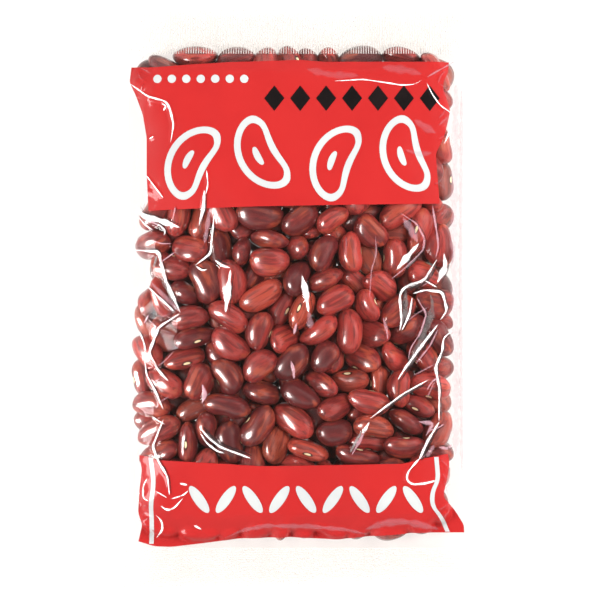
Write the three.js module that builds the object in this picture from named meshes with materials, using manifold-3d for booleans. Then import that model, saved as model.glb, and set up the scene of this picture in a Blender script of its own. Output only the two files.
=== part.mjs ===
import * as THREE from "three";
import { mergeVertices } from "three/addons/utils/BufferGeometryUtils.js";
import Module from "manifold-3d";

// A clear film bag of dried kidney beans, lying flat on its back with its front up.
// Two film panels are sealed together all round, so the filled part is a pillow that is flat
// underneath, and the sealed film stands out round it as a thin margin at the height of the seam.
// The front is printed with a red band above and below a clear window, where the beans show.
// X runs across the bag, Y from its foot to its head, and Z up out of the front.

// Driving dimensions, in millimetres.
const FILM_WIDTH = 129.6;
const FILM_HEIGHT = 210.2;
const FILL_LEFT = -59.4;
const FILL_RIGHT = 56.4;
const FILL_FOOT = -86.2;
const FILL_HEAD = 89.8;
const SEAM_HEIGHT = 6.3;
const SHOULDER_RISE = 5.4;
const CROWN_RISE = 9.2;
const BEAN = { length: 16.0, width: 9.4, thickness: 7.4, bow: 1.1 };

// The sealed film: its thickness stands for two panels and their crimp.
const SEAL_THICKNESS = 0.7;
const WAIST_LEFT = 3.8;
const WAIST_RIGHT = 5.2;
const WAIST_POWER = 8;
const FOOT_SLOPE = 4.6;
const EDGE_STEPS = 16;
const HUG_STEPS = 280;

// The filled part seen from above is a rectangle with round corners, and its rim is this power.
const PLAN_POWER = 11;
const SHOULDER_POWER = 14;
const FLAT_FOOT_SHARE = 0.87;

// How far the core lies under the film where the beans are modelled, and under the print.
const CORE_UNDER_BEANS = 3.4;
const CORE_UNDER_PRINT = 1.2;
const CORE_SIDES = 32;
const CORE_RINGS = 12;

// The printed bands of the front panel.
const PRINT_THICKNESS = 0.5;
const PRINT_INSET = 4.0;
const TOP_BAND = { left: -58.0, right: 55.8, foot: 33.6, head: 84.4 };
const FOOT_BAND = { left: -58.0, right: 55.8, foot: -84.0, head: -60.0 };
const BAND_CELL = 6.4;

// How the beans lie: rows a set pitch apart, shifted at random and then eased apart.
const SEED = 4729;
const ROW_PITCH = 10.5;
const BEAN_PITCH = 11.4;
const RIM_PITCH = 12.4;
const RIM_INSET = 4.7;
const RIM_SINK = 0.6;
const EASING_PASSES = 60;
const EASING_SHARE = 0.12;
const UNDER_BAND_SINK = 2.2;
const BEAN_SIDES = 7;
const BEAN_RINGS = 5;

// How uneven the beans are: the full spread of each random draw, in millimetres, in radians, or
// as a share for size and for along, which is a share of the pitch.
const RIM_SPREAD = { along: 0.3, height: 0.5, turn: 0.5, pitch: 0.2, roll: 1.0, size: 0.12 };
const WINDOW_SPREAD = { place: 3, turn: 2.67, pitch: 0.36, roll: 0.7, size: 0.16, sink: 1.5 };
const SMALLEST_RIM_BEAN = 0.9;
const SMALLEST_WINDOW_BEAN = 0.92;

// Meshes that touch keep this gap.
const GAP = 0.3;

const FILL = {
  x: (FILL_LEFT + FILL_RIGHT) / 2,
  y: (FILL_FOOT + FILL_HEAD) / 2,
  a: (FILL_RIGHT - FILL_LEFT) / 2,
  b: (FILL_HEAD - FILL_FOOT) / 2,
};

const wasm = await Module();
wasm.setup();

// A repeatable source of random numbers from 0 to 1.
function seededRandom(seed) {
  let state = seed;
  return () => {
    state = (state * 1664525 + 1013904223) % 4294967296;
    return state / 4294967296;
  };
}

// A random draw from half a spread below 0 to half a spread above it.
const draw = (random, spread) => spread * (random() - 0.5);

// A geometry whose faces share their corners, as bare positions.
function welded(geometry) {
  const bare = geometry.clone();
  bare.deleteAttribute("normal");
  bare.deleteAttribute("uv");
  return mergeVertices(bare, 1e-4);
}

// A geometry as a solid that can be joined and cut.
function toSolid(geometry) {
  const merged = welded(geometry);
  return new wasm.Manifold(
    new wasm.Mesh({
      numProp: 3,
      vertProperties: new Float32Array(merged.attributes.position.array),
      triVerts: new Uint32Array(merged.index.array),
    }),
  );
}

// A solid as a geometry again.
function toGeometry(solid) {
  const mesh = solid.getMesh();
  const positions = new Float32Array(mesh.numVert * 3);
  for (let i = 0; i < mesh.numVert; i++) {
    positions.set(
      mesh.vertProperties.subarray(i * mesh.numProp, i * mesh.numProp + 3),
      i * 3,
    );
  }
  const geometry = new THREE.BufferGeometry();
  geometry.setAttribute("position", new THREE.BufferAttribute(positions, 3));
  geometry.setIndex(new THREE.BufferAttribute(mesh.triVerts, 1));
  geometry.computeVertexNormals();
  return geometry;
}

// The largest closed surface of a solid, without the pockets shut inside it.
function mainBody(solid) {
  return solid.decompose().sort((one, other) => other.volume() - one.volume())[0];
}

// Moves every vertex of a geometry by a function from one point to another.
function reshape(geometry, move) {
  const position = geometry.attributes.position;
  const point = new THREE.Vector3();
  for (let i = 0; i < position.count; i++) {
    point.fromBufferAttribute(position, i);
    move(point);
    position.setXYZ(i, point.x, point.y, point.z);
  }
  geometry.computeVertexNormals();
  return geometry;
}

const clamp = (value, low, high) => Math.min(high, Math.max(low, value));

// 0 at the middle of the filled part and 1 at its outline.
function rimShare(x, y) {
  const across = Math.abs((x - FILL.x) / FILL.a) ** PLAN_POWER;
  const along = Math.abs((y - FILL.y) / FILL.b) ** PLAN_POWER;
  return (across + along) ** (1 / PLAN_POWER);
}

// Height of the front panel over the floor, from its share of the way to the outline.
function frontHeight(share) {
  const shoulder = Math.sqrt(1 - clamp(share, 0, 1) ** SHOULDER_POWER);
  return SEAM_HEIGHT + shoulder * (SHOULDER_RISE + CROWN_RISE * (1 - share ** 2));
}

// Height of the back panel, which is flat where it rests and turns up to the seam.
function backHeight(share) {
  const turn = clamp((share - FLAT_FOOT_SHARE) / (1 - FLAT_FOOT_SHARE), 0, 1);
  return SEAM_HEIGHT * (1 - Math.sqrt(1 - turn ** 2));
}

// The point of the outline, taken in by a distance, that lies at an angle from the middle.
function outlinePoint(turn, inset) {
  const x = Math.cos(turn);
  const y = Math.sin(turn);
  const stretch = (Math.abs(x) ** PLAN_POWER + Math.abs(y) ** PLAN_POWER) ** (-1 / PLAN_POWER);
  return new THREE.Vector2(
    FILL.x + x * stretch * (FILL.a - inset),
    FILL.y + y * stretch * (FILL.b - inset),
  );
}

// The outline of the filled part, taken in by a distance.
function fillOutline(inset, steps) {
  return Array.from({ length: steps }, (_, i) =>
    outlinePoint((i / steps) * Math.PI * 2, inset),
  );
}

// The filled part, taken in by a distance all round but standing on the floor.
function pillow(inset) {
  const ball = welded(new THREE.SphereGeometry(1, CORE_SIDES, CORE_RINGS).rotateX(Math.PI / 2));
  const middle = new THREE.Vector2(FILL.x, FILL.y);
  reshape(ball, (point) => {
    const share = Math.min(1, Math.hypot(point.x, point.y));
    const spot = outlinePoint(Math.atan2(point.y, point.x), inset).lerp(middle, 1 - share);
    const back = backHeight(share);
    const depth = Math.max(frontHeight(share) - inset - back, 1 - share);
    point.set(spot.x, spot.y, point.z > 1e-6 ? back + depth : back);
  });
  return toSolid(ball);
}

// The slice of a solid between two heights of the bag.
function sliceAlong(solid, foot, head) {
  const block = new THREE.BoxGeometry(FILM_WIDTH * 2, head - foot, FILM_HEIGHT);
  block.translate(0, (head + foot) / 2, 0);
  return solid.intersect(toSolid(block));
}

// One kidney bean, bowed in its own plane and lying on its flat side.
function beanGeometry(size) {
  const bean = new THREE.SphereGeometry(1, BEAN_SIDES, BEAN_RINGS);
  bean.rotateZ(Math.PI / 2);
  return reshape(bean, (point) => {
    const end = point.x;
    point.x = (BEAN.length / 2) * size * end;
    point.y = (BEAN.width / 2) * size * point.y + BEAN.bow * (end ** 2 - 0.4);
    point.z = (BEAN.thickness / 2) * size * point.z;
  });
}

// Eases apart beans that lie too much on each other, as three discs along each one.
function easeApart(beans, held) {
  const disc = BEAN.width * 0.43;
  const reach = BEAN.length / 2 - disc;
  const spots = (bean) =>
    [-reach, 0, reach].map((along) => ({
      x: bean.x + Math.cos(bean.turn) * along,
      y: bean.y + Math.sin(bean.turn) * along,
      along,
    }));
  for (let pass = 0; pass < EASING_PASSES; pass++) {
    for (const one of beans) {
      for (const other of [...beans, ...held]) {
        if (one === other || Math.hypot(one.x - other.x, one.y - other.y) > BEAN.length) {
          continue;
        }
        for (const mine of spots(one)) {
          for (const theirs of spots(other)) {
            const dx = mine.x - theirs.x;
            const dy = mine.y - theirs.y;
            const apart = Math.max(1e-6, Math.hypot(dx, dy));
            const push = Math.max(0, 2 * disc - apart) * EASING_SHARE;
            one.x += (dx / apart) * push;
            one.y += (dy / apart) * push;
            const swing = Math.cos(one.turn) * dy - Math.sin(one.turn) * dx;
            one.turn += ((swing / apart) * push * mine.along) / reach ** 2;
          }
        }
      }
    }
  }
}

// The beans round the outline, each lying along the seam at its height.
function rimBeans(random) {
  const path = new THREE.Shape(fillOutline(RIM_INSET, 240));
  path.closePath();
  const count = Math.round(path.getLength() / RIM_PITCH);
  return Array.from({ length: count }, (_, i) => {
    const at = (i + draw(random, RIM_SPREAD.along)) / count;
    const share = (at + 1) % 1;
    const spot = path.getPointAt(share);
    const along = path.getTangentAt(share);
    return {
      x: spot.x,
      y: spot.y,
      z: SEAM_HEIGHT - RIM_SINK + draw(random, RIM_SPREAD.height),
      turn: Math.atan2(along.y, along.x) + draw(random, RIM_SPREAD.turn),
      pitch: draw(random, RIM_SPREAD.pitch),
      roll: draw(random, RIM_SPREAD.roll),
      size: SMALLEST_RIM_BEAN + RIM_SPREAD.size * random(),
    };
  });
}

// The beans that show in the window, under the front panel.
function windowBeans(random, held) {
  const foot = FOOT_BAND.head + 1;
  const head = TOP_BAND.foot - 1;
  const rows = Math.round((head - foot) / ROW_PITCH);
  const left = FILL_LEFT + 2.2 * RIM_INSET;
  const columns = Math.round((FILL_RIGHT - 1.2 * RIM_INSET - left) / BEAN_PITCH);
  const beans = [];
  for (let row = 0; row <= rows; row++) {
    for (let column = 0; column < columns; column++) {
      const stagger = row % 2 ? 0.5 : 0;
      beans.push({
        x: left + (column + stagger) * BEAN_PITCH + draw(random, WINDOW_SPREAD.place),
        y: foot + ((head - foot) * row) / rows + draw(random, WINDOW_SPREAD.place),
        turn: Math.PI / 2 + draw(random, WINDOW_SPREAD.turn),
        pitch: draw(random, WINDOW_SPREAD.pitch),
        roll: draw(random, WINDOW_SPREAD.roll),
        size: SMALLEST_WINDOW_BEAN + WINDOW_SPREAD.size * random(),
        sink: WINDOW_SPREAD.sink * random(),
      });
    }
  }
  easeApart(beans, held);
  const across = FILL.a - 1.8 * RIM_INSET;
  for (const bean of beans) {
    bean.x = clamp(bean.x, FILL.x - across, FILL.x + across);
    bean.y = clamp(bean.y, foot, head);
    const toBand = Math.min(bean.y - FOOT_BAND.head, TOP_BAND.foot - bean.y);
    const sink = toBand < BEAN.length / 2 ? UNDER_BAND_SINK : bean.sink;
    const share = rimShare(bean.x, bean.y);
    bean.z = frontHeight(share) - (BEAN.thickness / 2) * bean.size - sink;
  }
  return beans;
}

// All the beans that show: those round the outline and those in the window.
function placeBeans() {
  const random = seededRandom(SEED);
  const rim = rimBeans(random);
  return [...rim, ...windowBeans(random, rim)];
}

// A bean in its place.
function placedBean(bean) {
  const geometry = beanGeometry(bean.size);
  const pose = new THREE.Matrix4().makeRotationFromEuler(
    new THREE.Euler(bean.roll, bean.pitch, bean.turn, "ZYX"),
  );
  geometry.applyMatrix4(pose.setPosition(bean.x, bean.y, bean.z));
  return toSolid(geometry);
}

// The contents: one core, with the beans that show fused on.
function heap(beans) {
  const high = pillow(CORE_UNDER_PRINT);
  const underHead = sliceAlong(high, TOP_BAND.foot + 1, TOP_BAND.head);
  const underFoot = sliceAlong(high, FOOT_BAND.foot, FOOT_BAND.head - 1);
  const pieces = [pillow(CORE_UNDER_BEANS), underHead, underFoot, ...beans.map(placedBean)];
  return mainBody(wasm.Manifold.union(pieces));
}

// Half the film's width at a height of the bag: full at head and foot, drawn in where it is filled.
function filmEdge(y, side) {
  const fullness = 1 - Math.abs(y / (FILM_HEIGHT / 2)) ** WAIST_POWER;
  return FILM_WIDTH / 2 - (side < 0 ? WAIST_LEFT : WAIST_RIGHT) * fullness;
}

// The outline of the film: two drawn-in sides, a straight head and a foot cut a little askew.
function filmShape() {
  const half = FILM_HEIGHT / 2;
  const outline = new THREE.Shape();
  const side = (sign, from, to) => {
    for (let i = 0; i <= EDGE_STEPS; i++) {
      const y = from + ((to - from) * i) / EDGE_STEPS;
      outline.lineTo(sign * filmEdge(y, sign), y);
    }
  };
  outline.moveTo(-filmEdge(-half, -1), -half);
  side(1, -half + FOOT_SLOPE, half);
  side(-1, half, -half);
  return outline;
}

// How far a line from the middle of the bag runs before it last leaves a bean, seen from above.
function reachOfBean(bean, line) {
  const length = (BEAN.length / 2) * bean.size + GAP;
  const width = (BEAN.width / 2) * bean.size + BEAN.bow / 2 + GAP;
  const middle = new THREE.Vector2();
  const from = new THREE.Vector2(FILL.x - bean.x, FILL.y - bean.y).rotateAround(middle, -bean.turn);
  const step = line.clone().rotateAround(middle, -bean.turn);
  const a = (step.x / length) ** 2 + (step.y / width) ** 2;
  const b = (from.x * step.x) / length ** 2 + (from.y * step.y) / width ** 2;
  const c = (from.x / length) ** 2 + (from.y / width) ** 2 - 1;
  const root = b ** 2 - a * c;
  return root > 0 ? (Math.sqrt(root) - b) / a : 0;
}

// The outline where the two panels come together, hugging the outermost beans.
function hugOutline(beans) {
  const inset = CORE_UNDER_PRINT - GAP;
  return fillOutline(inset, HUG_STEPS).map((spot) => {
    const line = new THREE.Vector2(spot.x - FILL.x, spot.y - FILL.y);
    const reach = Math.max(1, ...beans.map((bean) => reachOfBean(bean, line)));
    return new THREE.Vector2(FILL.x, FILL.y).addScaledVector(line, reach);
  });
}

// The sealed film round the contents.
function sealGeometry(beans) {
  const sheet = filmShape();
  sheet.holes.push(new THREE.Path(hugOutline(beans)));
  const seal = new THREE.ExtrudeGeometry(sheet, { depth: SEAL_THICKNESS, bevelEnabled: false });
  return seal.translate(0, 0, SEAM_HEIGHT - SEAL_THICKNESS / 2);
}

// A printed field of the front panel: a sheet that follows the front of the filled part and
// stops short of its outline.
function bandGeometry(band) {
  const width = band.right - band.left;
  const height = band.head - band.foot;
  const sheet = new THREE.BoxGeometry(
    width,
    height,
    PRINT_THICKNESS,
    Math.round(width / BAND_CELL),
    Math.round(height / BAND_CELL),
    1,
  );
  sheet.translate((band.left + band.right) / 2, (band.head + band.foot) / 2, 0);
  reshape(sheet, (point) => {
    const lift = point.z > 0 ? 0 : -PRINT_THICKNESS;
    point.z = frontHeight(rimShare(point.x, point.y)) + lift;
  });
  const clip = new THREE.ExtrudeGeometry(new THREE.Shape(fillOutline(PRINT_INSET, 64)), {
    depth: FILM_HEIGHT,
    bevelEnabled: false,
  });
  return toGeometry(toSolid(sheet).intersect(toSolid(clip)));
}

function paint(color, roughness) {
  return new THREE.MeshStandardMaterial({ color, roughness, metalness: 0 });
}

function named(name, geometry, material) {
  const mesh = new THREE.Mesh(geometry, material);
  mesh.name = name;
  return mesh;
}

const beanPaint = paint(0x7a2420, 0.35);
const filmPaint = paint(0xf4ebe6, 0.15);
const printPaint = paint(0xe8353a, 0.3);

const beans = placeBeans();
const bag = new THREE.Group();
bag.name = "bean_bag";
bag.add(named("beans", toGeometry(heap(beans)), beanPaint));
bag.add(named("film_seals", sealGeometry(beans), filmPaint));
bag.add(named("print_band_head", bandGeometry(TOP_BAND), printPaint));
bag.add(named("print_band_foot", bandGeometry(FOOT_BAND), printPaint));

export default bag;
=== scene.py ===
"""A clear film bag of dried red kidney beans, lying flat with its printed front up.

Two film panels are sealed together all round. The beans are packed between them as rigid bodies,
the front panel is drawn down over the heap they make, and its folds, seal ribs and print are
shaped on it. Everything is worked out in millimetres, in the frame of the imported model, and is
turned into metres where a mesh is made.
"""

from __future__ import annotations

import logging
import math
from dataclasses import dataclass, replace
from enum import Enum

import bpy
import numpy as np
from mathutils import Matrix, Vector
from mathutils.bvhtree import BVHTree
from mathutils.geometry import delaunay_2d_cdt

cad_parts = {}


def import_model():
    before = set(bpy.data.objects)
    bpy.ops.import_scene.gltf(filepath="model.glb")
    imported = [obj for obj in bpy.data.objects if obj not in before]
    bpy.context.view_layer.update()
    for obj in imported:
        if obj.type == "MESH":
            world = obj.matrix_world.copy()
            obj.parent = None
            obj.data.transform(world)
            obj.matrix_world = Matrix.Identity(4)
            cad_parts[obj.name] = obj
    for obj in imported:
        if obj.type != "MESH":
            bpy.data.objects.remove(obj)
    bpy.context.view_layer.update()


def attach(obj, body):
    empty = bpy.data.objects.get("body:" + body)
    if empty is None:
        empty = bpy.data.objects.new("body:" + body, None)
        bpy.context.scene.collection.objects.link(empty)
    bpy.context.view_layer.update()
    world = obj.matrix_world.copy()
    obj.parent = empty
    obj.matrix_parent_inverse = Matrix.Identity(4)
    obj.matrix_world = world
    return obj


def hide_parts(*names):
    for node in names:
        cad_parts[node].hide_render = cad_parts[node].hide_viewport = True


LOG = logging.getLogger("bean_bag")
MM = 0.001
BODY = "root"
# Rays that feel for the beans start this far from the floor and are this long, in millimetres.
RAY_START = 60.0
RAY_LENGTH = 120.0

Array = np.ndarray
Pair = tuple[np.ndarray, np.ndarray]
Dice = np.random.Generator
Color = tuple[float, float, float]
Point = tuple[float, float]
Triple = tuple[float, float, float]
Piece = bpy.types.Object
Finish = bpy.types.Material
Socket = bpy.types.NodeSocket


class Side(Enum):
    """The two panels of the bag."""

    FRONT = 1
    BACK = -1


class Ribs(Enum):
    """Which way the ribs in sealed film change: across the bag or along it."""

    ACROSS = "X"
    ALONG = "Y"


# The bag's own shape.


@dataclass(frozen=True)
class BagPlan:
    """The outline of the film and the pillow that the beans fill, in millimetres."""

    film_width: float = 129.6
    film_height: float = 210.2
    fill_left: float = -59.4
    fill_right: float = 56.4
    fill_foot: float = -84.7
    fill_head: float = 89.8
    seam_height: float = 6.3
    shoulder_rise: float = 5.4
    crown_rise: float = 9.2
    plan_power: float = 11.0
    shoulder_power: float = 14.0
    flat_share: float = 0.87
    waist_left: float = 3.8
    waist_right: float = 5.2
    waist_power: float = 8.0
    foot_slope: float = 4.6
    flap_from: float = 84.0
    flap_length: float = 21.0
    sag: float = 1.7
    left_wall: tuple[Point, ...] = (
        (-88.0, -57.0), (-77.0, -55.6), (-60.0, -55.8), (-50.0, -56.8), (-42.0, -59.4), (-6.0, -59.2),
        (1.0, -56.5), (5.0, -52.5), (12.0, -52.0), (17.0, -57.5), (24.0, -58.0), (32.0, -55.0),
        (37.0, -52.8), (62.0, -52.8), (70.0, -56.0), (76.0, -58.0), (86.0, -60.0), (92.0, -60.0),
    )
    right_wall: tuple[Point, ...] = (
        (-88.0, 56.0), (-76.0, 55.0), (-70.0, 52.0), (-64.0, 54.5), (-56.0, 56.0), (-50.0, 53.5),
        (-44.0, 55.6), (-34.0, 53.8), (-27.0, 56.0), (-2.0, 55.8), (4.0, 53.6), (9.0, 55.6), (14.5, 53.8),
        (20.0, 55.8), (25.0, 53.8), (32.0, 55.4), (57.0, 54.8), (63.5, 51.8), (70.0, 54.5), (92.0, 55.5),
    )

    def walls(self, y: Array) -> Pair:
        """Give where the fill ends at the left and at the right."""
        left, right = (np.interp(y, *np.array(wall).T) for wall in (self.left_wall, self.right_wall))
        return left, right

    @property
    def middle(self) -> Point:
        """The middle of the filled part."""
        return (self.fill_left + self.fill_right) / 2, (self.fill_foot + self.fill_head) / 2

    @property
    def half(self) -> Point:
        """Half the width and half the height of the filled part."""
        return (self.fill_right - self.fill_left) / 2, (self.fill_head - self.fill_foot) / 2

    def share(self, x: Array, y: Array, inset: Array | float = 0.0) -> Array:
        """Tell how far points are from the middle of the fill, as a share of its outline.

        Args:
            x: Places across.
            y: Places along.
            inset: How far the outline is taken in.

        Returns:
            0 at the middle and 1 on the outline.
        """
        (mid_x, mid_y), (half_x, half_y), power = self.middle, self.half, self.plan_power
        across = np.abs((x - mid_x) / (half_x - inset)) ** power
        along = np.abs((y - mid_y) / (half_y - inset)) ** power
        return (across + along) ** (1.0 / power)

    def front(self, share: Array) -> Array:
        """Give the height of the front panel over the floor.

        Args:
            share: How far out the points are, from 0 to 1.

        Returns:
            Heights in millimetres.
        """
        out = np.clip(share, 0.0, 1.0)
        shoulder = np.sqrt(1.0 - out**self.shoulder_power)
        return self.seam_height + shoulder * (self.shoulder_rise + self.crown_rise * (1 - out**2))

    def back(self, share: Array) -> Array:
        """Give the height of the back panel over the floor.

        Args:
            share: How far out the points are, from 0 to 1.

        Returns:
            Heights in millimetres.
        """
        turn = np.clip((share - self.flat_share) / (1 - self.flat_share), 0.0, 1.0)
        return self.seam_height * (1.0 - np.sqrt(1.0 - turn**2))

    def edge(self, y: Array, sign: int) -> Array:
        """Give the film's side edge.

        Args:
            y: Places along the bag.
            sign: -1 for the left edge and 1 for the right one.

        Returns:
            Places across the bag.
        """
        fullness = 1.0 - np.abs(y / (self.film_height / 2)) ** self.waist_power
        waist = self.waist_left if sign < 0 else self.waist_right
        return sign * (self.film_width / 2 - waist * np.clip(fullness, 0.0, 1.0))

    def foot(self, x: Array) -> Array:
        """Give the film's foot edge, which is cut a little askew.

        Args:
            x: Places across the bag.

        Returns:
            Places along the bag.
        """
        return -self.film_height / 2 + self.foot_slope * (x / self.film_width + 0.5)

    def flap(self, x: Array, y: Array) -> Array:
        """Give the height of the sealed film, which sags and waves a little away from the beans.

        Args:
            x: Places across.
            y: Places along.

        Returns:
            Heights in millimetres.
        """
        past = np.clip((np.abs(y) - self.flap_from) / self.flap_length, 0.0, 1.0)
        sag = self.sag * past**1.5
        wave = 0.55 * np.sin(x / 13.0 + 0.6 * np.sign(y)) + 0.3 * np.sin(x / 5.3 + y / 17.0)
        side = 0.35 * np.sin(y / 9.0 + 1.3) + 0.2 * np.sin(y / 4.1)
        return self.seam_height - sag + past * wave + (1 - past) * side


# The beans.


@dataclass(frozen=True)
class BeanShape:
    """One dried kidney bean: its long axis is X, its width Y, and its seam side is -Y.

    While the heap is packed it is pairs of balls. Each row of balls gives how far from the middle
    they are, how far to each side, and their radius.
    """

    length: float = 16.0
    width: float = 9.5
    thickness: float = 7.5
    bow: float = 0.9
    dent: float = 0.45
    rings: int = 20
    sides: int = 14
    spine: float = 0.3
    end_power: float = 0.52
    dent_length: float = 0.3
    lean: float = 0.25
    balls_along: tuple[Triple, ...] = ((0.0, 0.95, 3.72), (3.1, 0.8, 3.55), (5.0, 0.35, 2.95))

    def balls(self) -> Pair:
        """Give the balls that stand for a bean while the heap is packed.

        Returns:
            The balls' middles and their radii.
        """
        rows: list[tuple[float, float, float, float]] = []
        for along, spread, radius in self.balls_along:
            for end in (-1, 1) if along else (1,):
                for turn in (-1, 1):
                    dip = -self.bow * (2 * along / self.length) ** 2 + self.spine
                    rows.append((end * along, dip + turn * spread, 0.0, radius))
        table = np.array(rows)
        return table[:, :3], table[:, 3]

    def faces(self) -> Array:
        """List the faces of one bean.

        Returns:
            The faces, four corners each. A triangle at a tip names one corner twice.
        """
        first, last = (self.rings - 1) * self.sides, (self.rings - 1) * self.sides + 1
        faces: list[tuple[int, int, int, int]] = []
        for ring in range(self.rings - 2):
            for side in range(self.sides):
                one, two = ring * self.sides + side, ring * self.sides + (side + 1) % self.sides
                faces.append((one, one + self.sides, two + self.sides, two))
        base = (self.rings - 2) * self.sides
        for side in range(self.sides):
            following = (side + 1) % self.sides
            faces.append((first, side, following, first))
            faces.append((last, base + following, base + side, last))
        return np.array(faces)

    def surfaces(self, build: Array) -> Array:
        """Make the skins of many beans, each a little different.

        Args:
            build: One row for each bean: its length, width and thickness as shares of the usual
                ones, its bow, its taper, how squarely its ends are cut, and where and how deep its
                flats are.

        Returns:
            The points of each bean.
        """
        long, wide, thick, bow, taper, square, flat_at, flat = (build[:, i, None, None] for i in range(8))
        turn = np.linspace(0.0, np.pi, self.rings + 1)[1:-1]
        around = np.arange(self.sides)[None, None, :] * (2 * np.pi / self.sides)
        end = -np.cos(turn)[None, :, None]
        flats = flat * (np.cos(2 * around + flat_at) + 0.7 * np.cos(3 * around - flat_at + 2 * end))
        radius = (1.0 - np.abs(end) ** square) ** self.end_power * (1.0 + taper * end) * (1.0 + flats)
        seam_side = np.clip(-np.cos(around), 0.0, 1.0) ** 3
        dent = self.dent * np.exp(-((end / self.dent_length) ** 2)) * seam_side
        x = self.length / 2 * long * end + 0 * around
        y = self.width / 2 * wide * radius * np.cos(around) - bow * end**2 + self.spine + dent
        z = self.thickness / 2 * thick * radius * np.sin(around)
        z += self.lean * np.sin(2.2 * end + 3 * taper * 10) * radius
        body = np.stack([x, y, z], -1).reshape(len(build), -1, 3)
        tips = np.zeros((len(build), 2, 3))
        tips[:, 0, 0], tips[:, 1, 0] = -self.length / 2 * build[:, 0], self.length / 2 * build[:, 0]
        tips[:, :, 1] = (self.spine - build[:, 3])[:, None]
        return np.concatenate([body, tips], axis=1)

    @staticmethod
    def builds(count: int, rng: Dice) -> Array:
        """Draw the builds of many beans.

        Args:
            count: How many beans.
            rng: The random source.

        Returns:
            One row for each bean, as surfaces takes them.
        """
        columns = [
            rng.normal(0.955, 0.085, count).clip(0.78, 1.10),
            rng.normal(1.03, 0.06, count).clip(0.90, 1.14),
            rng.normal(1.01, 0.06, count).clip(0.86, 1.12),
            rng.normal(0.85, 0.35, count).clip(0.1, 1.7),
            rng.normal(0.0, 0.085, count).clip(-0.17, 0.17),
            rng.uniform(2.05, 2.75, count),
            rng.uniform(0.0, 2 * np.pi, count),
            rng.uniform(0.03, 0.13, count),
        ]
        return np.stack(columns, -1)


@dataclass
class Contacts:
    """The balls of all beans at one moment, and what their contacts do to each bean."""

    centres: Array
    spots: Array
    radius: Array
    push: Array
    twist: Array
    hits: Array

    @classmethod
    def none_yet(cls, place: Array, turn: Array, local: Array, radius: Array) -> Contacts:
        """Put the balls in their places, before anything has touched.

        Args:
            place: Each bean's place.
            turn: Each bean's rotation matrix.
            local: The balls' middles in their bean's own frame.
            radius: The balls' radii.

        Returns:
            The balls, with no push on any bean.
        """
        spots = np.einsum("nij,nmj->nmi", turn, local)
        still = np.zeros((2, *place.shape))
        return cls(spots + place[:, None, :], spots, radius, *still, np.zeros(len(place)))

    def part(self, one: Array, two: Array) -> None:
        """Add the pushes and twists of beans that lie in each other.

        Args:
            one: The first bean of each pair.
            two: The second bean of each pair.
        """
        apart = self.centres[one][:, :, None, :] - self.centres[two][:, None, :, :]
        gap = np.linalg.norm(apart, axis=-1)
        depth = self.radius[one][:, :, None] + self.radius[two][:, None, :] - gap
        pair, mine, theirs = np.nonzero(depth > 0)
        normal = apart[pair, mine, theirs] / np.maximum(gap[pair, mine, theirs], 1e-6)[:, None]
        shift = 0.5 * depth[pair, mine, theirs][:, None] * normal
        for bean, ball, sign in ((one[pair], mine, 1.0), (two[pair], theirs, -1.0)):
            np.add.at(self.push, bean, sign * shift)
            np.add.at(self.twist, bean, np.cross(self.spots[bean, ball], sign * shift))
            np.add.at(self.hits, bean, 1.0)

    def shift(self, shift: Array) -> None:
        """Add a push on every ball, which also twists its bean.

        Args:
            shift: How far each ball is pushed.
        """
        self.push += shift.sum(1)
        self.twist += np.cross(self.spots, shift).sum(1)
        self.hits += (np.abs(shift).sum(-1) > 1e-6).sum(1)


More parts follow.
